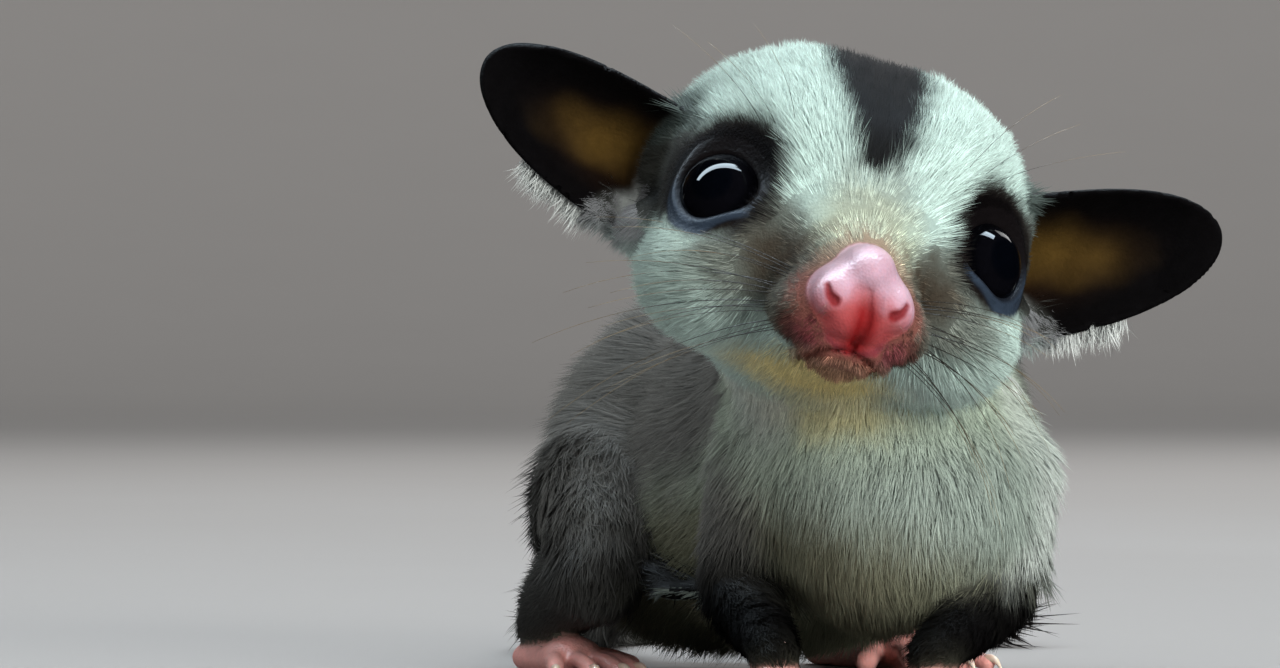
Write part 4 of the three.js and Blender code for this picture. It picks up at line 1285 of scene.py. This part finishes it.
def make_tufts(name, root, normal, facing, lie, length, width, lift, pull, tone, slot, bent, look):
    """Closed, tapering slivers of three sides that leave the skin at a low angle and lie along the coat.

    They take the light as hair does that faces one way, which is the skin's own way but for free tufts.
    """
    side = unit(np.cross(lie, normal))
    droop = 0.5 if bent else 0.0
    stations = (0.0, 0.5, 1.0) if bent else (0.0, 1.0)

    def middle(t):
        out = length * (np.sin(lift) * (t - droop * t * t))
        ahead = (length * np.cos(lift) * t)[:, None] * lie
        return root - ROOT_DEPTH * normal + ahead + out[:, None] * normal + pull * t * t

    points, own, along, patch = [], [], [], []
    for t in stations[:-1]:
        wide = width * (1 - 0.25 * t)
        for across, over in ((-0.5, 0.0), (0.5, 0.0), (0.0, 0.55)):
            points.append(middle(t) + (wide * across)[:, None] * side + (wide * over)[:, None] * normal)
            own.append(unit(side * across * 1.6 + normal * (0.35 + over)))
            along.append(np.full(len(root), t))
            patch.append((across, t - 0.5))
    points.append(middle(1.0))
    own.append(unit(normal + 0.3 * lie))
    along.append(np.ones(len(root)))
    patch.append((0.0, 0.5))
    each = len(points)
    for corner in points:
        corner[:, 2] = np.maximum(corner[:, 2], FLOOR_CLEAR)
    faces = np.array(BENT_TUFT if bent else STRAIGHT_TUFT) + (np.arange(len(root)) * each)[:, None, None]
    lay = lambda parts: np.stack(parts, 1).reshape(-1, 3)
    piece = new_mesh(name, lay(points), faces.reshape(-1, 3), slot, [look])
    give(piece, "tone", np.repeat(tone, each, 0))
    give(piece, "along", np.stack(along, 1).ravel())
    give(piece, "chance", np.repeat(rng.random(len(root)), each))
    soft = unit(0.7 * np.repeat(facing, each, 0) + 0.45 * lay(own))
    piece.data.normals_split_custom_set_from_vertices(soft.astype(np.float32))
    place = unwrapped(root, normal)[:, None] + PATCH * np.array(patch)
    bake = piece.data.uv_layers.new(name="OFBake")
    corners = np.empty(len(piece.data.loops), np.int32)
    piece.data.loops.foreach_get("vertex_index", corners)
    bake.data.foreach_set("uv", place.reshape(-1, 2)[corners].astype(np.float32).ravel())


def clumped(root, size, seed):
    """Which clump each root belongs to, and the way from its clump's middle."""
    jitter = np.stack([waves(root, size * 2.5, seed + k) for k in range(3)], 1) * size * 0.4
    cell = np.floor((root + jitter) / size).astype(int)
    _, clump = np.unique(cell, axis=0, return_inverse=True)
    clump = clump.ravel()
    number = np.bincount(clump)
    centre = np.stack([np.bincount(clump, root[:, k]) / number for k in range(3)], 1)
    return clump, root - centre[clump]


class Coat:
    """The skin's mesh with what each of its points needs to grow hair."""

    def __init__(self, points, faces, normals, shares, bare, eared, look):
        self.points, self.faces, self.normals, self.shares = points, faces, normals, shares
        self.bare, self.eared, self.look = bare, eared, look
        self.lie = lie_of(points, normals, shares)
        face = mirrored(into(points, HEAD), 0.0)
        self.grizzle = 0.12 + 0.33 * smooth(8, 3, off_ball(face, (3.5, -12.5, -4.5)))

    def tones(self, density, length):
        """The markings where the middle of each tuft lies, as its root is ahead of that."""
        tone = np.zeros_like(self.points)
        near = np.zeros(len(self.points), bool)
        near[self.faces[density[self.faces].max(1) > 0].ravel()] = True
        shares = {key: value[near] for key, value in self.shares.items()}
        lying = self.points[near] + 0.6 * length[near][:, None] * self.lie[near]
        tone[near] = markings(lying, self.normals[near], shares)
        return tone

    def grow(self, name, slot, density, length, width, lift, clump=0.9, pull=0.3, bent=False, lively=0.2,
             hue=None, way=None, facing=None):
        """Tufts of one kind. Density is by the square millimetre, and lift is in degrees off the skin.

        Tufts with a facing are free: they hang their own way, and the others are laid along the skin.
        """
        spread = lambda value: np.broadcast_to(np.asarray(value, float), len(self.points))
        length, width, lift = spread(length), spread(width), np.radians(spread(lift))
        density = density * smooth(0.2, 0.7, self.points[:, 2] + self.normals[:, 2])
        face, share = sow(self.points, self.faces, density)
        shared = lambda values: share[..., None] if values.ndim > 1 else share
        at = lambda values: (values[self.faces[face]] * shared(values)).sum(1)
        root, normal, lie = at(self.points), unit(at(self.normals)), unit(at(self.lie))
        tone = at(self.tones(density, length) if hue is None else np.broadcast_to(hue, self.points.shape))
        if way is not None:
            lie = np.broadcast_to(way, root.shape)
        lie = unit(lie + lively * rng.normal(size=root.shape))
        if facing is None:
            lie = laid(lie, normal)
        faced = normal if facing is None else np.broadcast_to(facing, root.shape)
        group, apart = clumped(root, clump, CLUMP_SEED)
        groups = group.max() + 1
        long = at(length) * rng.uniform(0.8, 1.15, groups)[group] * rng.uniform(0.75, 1.2, len(root))
        high = at(lift) * rng.uniform(0.7, 1.3, groups)[group]
        wide = at(width) * rng.uniform(0.8, 1.2, len(root))
        tone = tone * rng.uniform(0.92, 1.06, groups)[group][:, None]
        tone = tone * np.exp(at(self.grizzle) * rng.normal(size=len(root)))[:, None]
        order = np.argsort(root @ unit(array(1, 0.3, 0.2)), kind="stable")
        most = MOST_TRIANGLES // len(BENT_TUFT if bent else STRAIGHT_TUFT)
        parts = np.array_split(order, math.ceil(len(order) / most))
        for k, part in enumerate(parts):
            title = f"{name}_{k + 1}" if len(parts) > 1 else name
            lies = root[part], normal[part], faced[part], lie[part]
            sizes = long[part], wide[part], high[part], -pull * apart[part]
            make_tufts(title, *lies, *sizes, tone[part], slot, bent, self.look)


def coat_head(coat, q, clear):
    """Short fur that is shortest round the nose and eyes."""
    off_nose, off_eye = norm(q - NOSE_TIP), norm(q - EYE)
    short = mix(0.3, 1, smooth(3, 10.5, off_nose)) * mix(0.42, 1, smooth(3.2, 6.5, off_eye))
    dense = 76 * (1 + 0.9 * smooth(6.5, 4.5, off_nose))
    dense = dense * part_of(coat.shares, "head") * clear * (1 - lobe_fur(q))
    width, lift = 0.1 * mix(0.65, 1, short), mix(36, 15, smooth(3, 7, off_nose))
    coat.grow("coat_head", "pale_coat", dense, 2.2 * short, width, lift, clump=0.75, lively=0.16)


def coat_trunk(coat, furred):
    """Longer fur on the back, and steep short fur under the throat, where the skin is hollow."""
    p = coat.points
    body = part_of(coat.shares, "trunk") * furred
    breast = smooth(4, -5, p[:, 1])
    throat = smooth(14.5, 18, p[:, 2]) * smooth(0, -5, p[:, 1])
    dense = 46 * (1 + 0.8 * throat) * breast * body
    length, width, lift = mix(3.1, 1.2, throat), mix(0.1, 0.075, throat), mix(13, 38, throat)
    coat.grow("coat_breast", "pale_coat", dense, length, width, lift, pull=0.35, lively=0.15)
    length, width, lift = mix(3.6, 2.8, breast), mix(0.13, 0.115, breast), mix(21, 16, breast)
    coat.grow("coat_body", "grey_coat", 36 * (1 - breast) * body, length, width, lift, clump=1.0, lively=0.17)


def coat_limbs(coat, furred):
    """Close fur on the legs and long bent hair on the tail, lower where the tail meets the floor."""
    p, shares = coat.points, coat.shares
    low = smooth(1.5, 9, p[:, 2])
    legs = 30 * part_of(shares, "foreleg", "hindleg") * furred
    coat.grow("coat_legs", "dark_coat", legs, mix(1.1, 2.6, low), mix(0.11, 0.14, low), 18, lively=0.18)
    share, _, _ = along_line(p, TAIL_LINE)
    lying = mix(0.35, 1, smooth(0.2, 1.6, p[:, 2]))
    tail = 20 * shares["tail"] * furred * lying
    length, lift = mix(4.5, 8.0, smooth(0, 0.3, share)), 20 * lying
    coat.grow("coat_tail", "grey_coat", tail, length, 0.2, lift, clump=1.3, pull=0.4, bent=True, lively=0.17)


def at_back(coat):
    """What faces the back of the head."""
    return smooth(-0.1, 0.15, coat.normals @ HEAD[0][:, 1])


# Where white puffs hang from the lower rim of each ear, at its back: centres and radii
PUFFS = ((19.3, 3.5, -1.9, 1.4), (16.6, 4.0, -3.1, 1.5), (14.2, 4.0, -4.2, 1.5))


def coat_side(coat, side, sign, h, q, clear):
    """The tufts round an ear and along the edge of a gliding membrane."""
    to_body = lambda *way: HEAD[0] @ unit(array(*way))
    own, under = smooth(0, 0.5, sign * h[:, 0]), smooth(0.3, -0.5, coat.normals[:, 2])
    behind = own * smooth(1.15, 0.7, off_ball(q, (11.2, 5.0, -4.4), (3, 2.4, 3.2)))
    coat.grow(f"coat_ruff_{side}", "pale_coat", 60 * behind * clear, 3.2, 0.1, 18, clump=1.0, bent=True,
              lively=0.15, hue=WHITE, way=to_body(sign, 0.3, -0.3))
    puffs = [smooth(1.3, 0.5, off_ball(q, (x, y, z), (r, 2.5, r))) for x, y, z, r in PUFFS]
    rim = 110 * own * np.maximum.reduce(puffs) * smooth(0.3, 0.7, coat.eared) * at_back(coat)
    hang, facing = to_body(0.35 * sign, 0.3, -1), to_body(0.4 * sign, -1, 0.6)
    coat.grow(f"coat_puffs_{side}", "pale_coat", rim, 1.9, 0.065, 0, bent=True, lively=0.26,
              hue=mix(WHITE, EAR_TUFT, 0.35), way=hang, facing=facing)
    lobe, hue = 110 * own * lobe_fur(q), mix(EAR_TUFT, PALE, smooth(-3, -5.5, h[:, 2])[:, None])
    coat.grow(f"coat_ear_tuft_{side}", "pale_coat", lobe, 1.5, 0.065, 16, clump=0.8, pull=0.1, lively=0.1,
              hue=hue, way=to_body(0.5 * sign, 0.3, -1))
    edge, hue = coat.shares[f"membrane_{side}"], mix(STRIPE, CHEST, 0.6 * under[:, None])
    share, _, _ = along_line(coat.points, np.array(MEMBRANE_LINES[side]))
    edge = edge * smooth(0.35, 0.7, edge) * smooth(0.08, 0.2, share)
    coat.grow(f"coat_membrane_{side}", "dark_coat", 14 * edge, 2.1, 0.14, 8, clump=1.2, bent=True,
              lively=0.12, hue=hue)


def make_coat(coat):
    p = coat.points
    h = into(p, HEAD)
    q = mirrored(h, 0.0)
    furred = np.clip(1 - coat.bare - coat.eared, 0, 1)
    clear = smooth(0.1, 0.6, furred) * smooth(3.15, 3.3, norm(q - EYE))
    coat_head(coat, q, clear)
    coat_trunk(coat, furred)
    coat_limbs(coat, furred)
    for side, sign in SIDES:
        coat_side(coat, side, sign, h, q, clear)
    backs = coat.eared * at_back(coat)
    for _, sign in SIDES:
        along, across, _ = ear_place(h, sign)
        rim = across**2 + np.maximum(along, 0) ** EAR_BLUNTNESS
        backs = backs * np.where(sign * h[:, 0] > 0, smooth(0.95, 0.8, rim), 1)
    coat.grow("coat_ears", "dark_coat", 22 * backs, 0.5, 0.06, 8, clump=0.5, pull=0.2, lively=0.25,
              hue=EAR_BLACK * 1.5)
    paws = part_of(coat.shares, "hand", "foot") * smooth(0.1, 0.5, coat.normals[:, 2])
    paws = paws * smooth(0.9, 1.6, p[:, 2])
    coat.grow("coat_paws", "pale_coat", 14 * paws, 0.7, 0.06, 14, clump=0.5, pull=0.2, lively=0.3,
              hue=mix(PAW_PINK, WHITE, 0.35))


# Studio: a wide pale dish for floor and backdrop, soft lamps and the photo's camera, in metres
DISH_FLAT = 1.6
DISH_REACH = 3.2
DISH_HEIGHT = 1.3
DISH_SECTORS = 96
PAPER = (0.32, 0.305, 0.295)
SKY = (0.97, 0.98, 1.0, 1)
SKY_STRENGTH = 0.45


def make_dish():
    inner, outer = np.linspace(0.1, DISH_FLAT, 10), np.linspace(DISH_FLAT, DISH_REACH, 13)[1:]
    radii = np.concatenate([[0.02], inner, outer])
    rise = np.clip((radii - DISH_FLAT) / (DISH_REACH - DISH_FLAT), 0, 1)
    heights = DISH_HEIGHT * (1 - np.sqrt(1 - rise**2 * 0.999))
    turn = np.linspace(0, 2 * math.pi, DISH_SECTORS, endpoint=False)
    points = [(r * math.cos(a), r * math.sin(a), z) for r, z in zip(radii, heights) for a in turn]
    faces = [tuple(range(DISH_SECTORS))]  # every face looks up
    for ring in range(len(radii) - 1):
        near, far = ring * DISH_SECTORS, (ring + 1) * DISH_SECTORS
        for k in range(DISH_SECTORS):
            after = (k + 1) % DISH_SECTORS
            faces.append((near + after, near + k, far + k, far + after))
    data = bpy.data.meshes.new("studio_dish")
    data.from_pydata(points, [], faces)
    data.shade_smooth()
    data.materials.append(toned("studio_paper", [((0.02, 2), 0.97, 1.0)], Roughness=0.9))
    dish = placed("studio_dish", data)
    give(dish, "tone", np.tile(PAPER, (len(points), 1)))
    dish.visible_glossy = False


def make_sky():
    world = bpy.data.worlds.new("studio")
    bpy.context.scene.world = world
    world.use_nodes = True
    sky = world.node_tree.nodes["Background"]
    sky.inputs["Color"].default_value = SKY
    sky.inputs["Strength"].default_value = SKY_STRENGTH
    world.cycles_visibility.glossy = False


def lamp(name, away, size, power, tint=(1, 1, 1)):
    """A soft rectangular lamp, placed from the head, level across and tipped to the head's height."""
    data = bpy.data.lights.new(name, "AREA")
    data.shape = "RECTANGLE"
    data.size, data.size_y = size
    data.energy = power
    data.color = tint
    made = placed(name, data)
    made.location = Vector(metres(HEAD[1])) + Vector(away)
    made.rotation_mode = "QUATERNION"
    made.rotation_quaternion = Vector((0, away[1], away[2])).to_track_quat("Z", "Y")
    made.visible_camera = False
    return made


def sun(name, azimuth, elevation, softness, strength, tint):
    """An even light from far away, soft by its width in degrees."""
    data = bpy.data.lights.new(name, "SUN")
    data.angle = math.radians(softness)
    data.energy = strength
    data.color = tint
    made = placed(name, data)
    made.rotation_euler = (math.radians(90 - elevation), 0, math.radians(azimuth))
    return made


# The camera looks level along +Y, from this place in millimetres
CAMERA_PLACE = array(-16.45, -436, 24)
SENSOR_WIDTH = 36
FACE_DISTANCE = 420
FRAME_WIDTH = 82.6  # what the picture takes in, across, at the face


def make_camera():
    data = bpy.data.cameras.new("camera")
    data.sensor_width = SENSOR_WIDTH
    data.lens = SENSOR_WIDTH * FACE_DISTANCE / FRAME_WIDTH
    data.clip_start, data.clip_end = 0.01, 50
    made = placed("camera", data)
    made.location = Vector(metres(CAMERA_PLACE))
    made.rotation_euler = (math.radians(90), 0, 0)
    bpy.context.scene.camera = made


def make_lights():
    """A long lamp above lights the coat, and one in its place shows only as the shine of eyes and nose."""
    key = sun("key", 8, 34, 90, 1.5, (1.0, 1.0, 0.98))
    fill = lamp("fill", (0.5, -0.75, 0.17), (0.5, 0.3), 10, (1.0, 1.0, 0.97))
    strip = lamp("strip", (-0.29, 0.06, 0.62), (1.3, 0.06), 2.2, (0.86, 0.95, 1.0))
    for light in (key, fill, strip):
        light.visible_glossy = False
    glint = lamp("glint", (-0.29, 0.06, 0.6), (1.3, 0.18), 24, (0.72, 0.88, 1.0))
    glint.visible_diffuse = False
    lamp("rim", (0.25, 0.75, 0.6), (0.8, 0.5), 4)


make_camera()
make_dish()
make_sky()
make_lights()
bpy.context.scene.view_settings.view_transform = "Standard"

skin_points, skin_faces = draw_skin()
skin_normals = corner_normals(skin_points, skin_faces)
skin_shares = belonging(skin_points)
bare, eared = make_skin(skin_points, skin_faces, skin_normals, skin_shares)
make_eyes()
make_claws()
make_whiskers()
make_coat(Coat(skin_points, skin_faces, skin_normals, skin_shares, bare, eared, coat_material()))
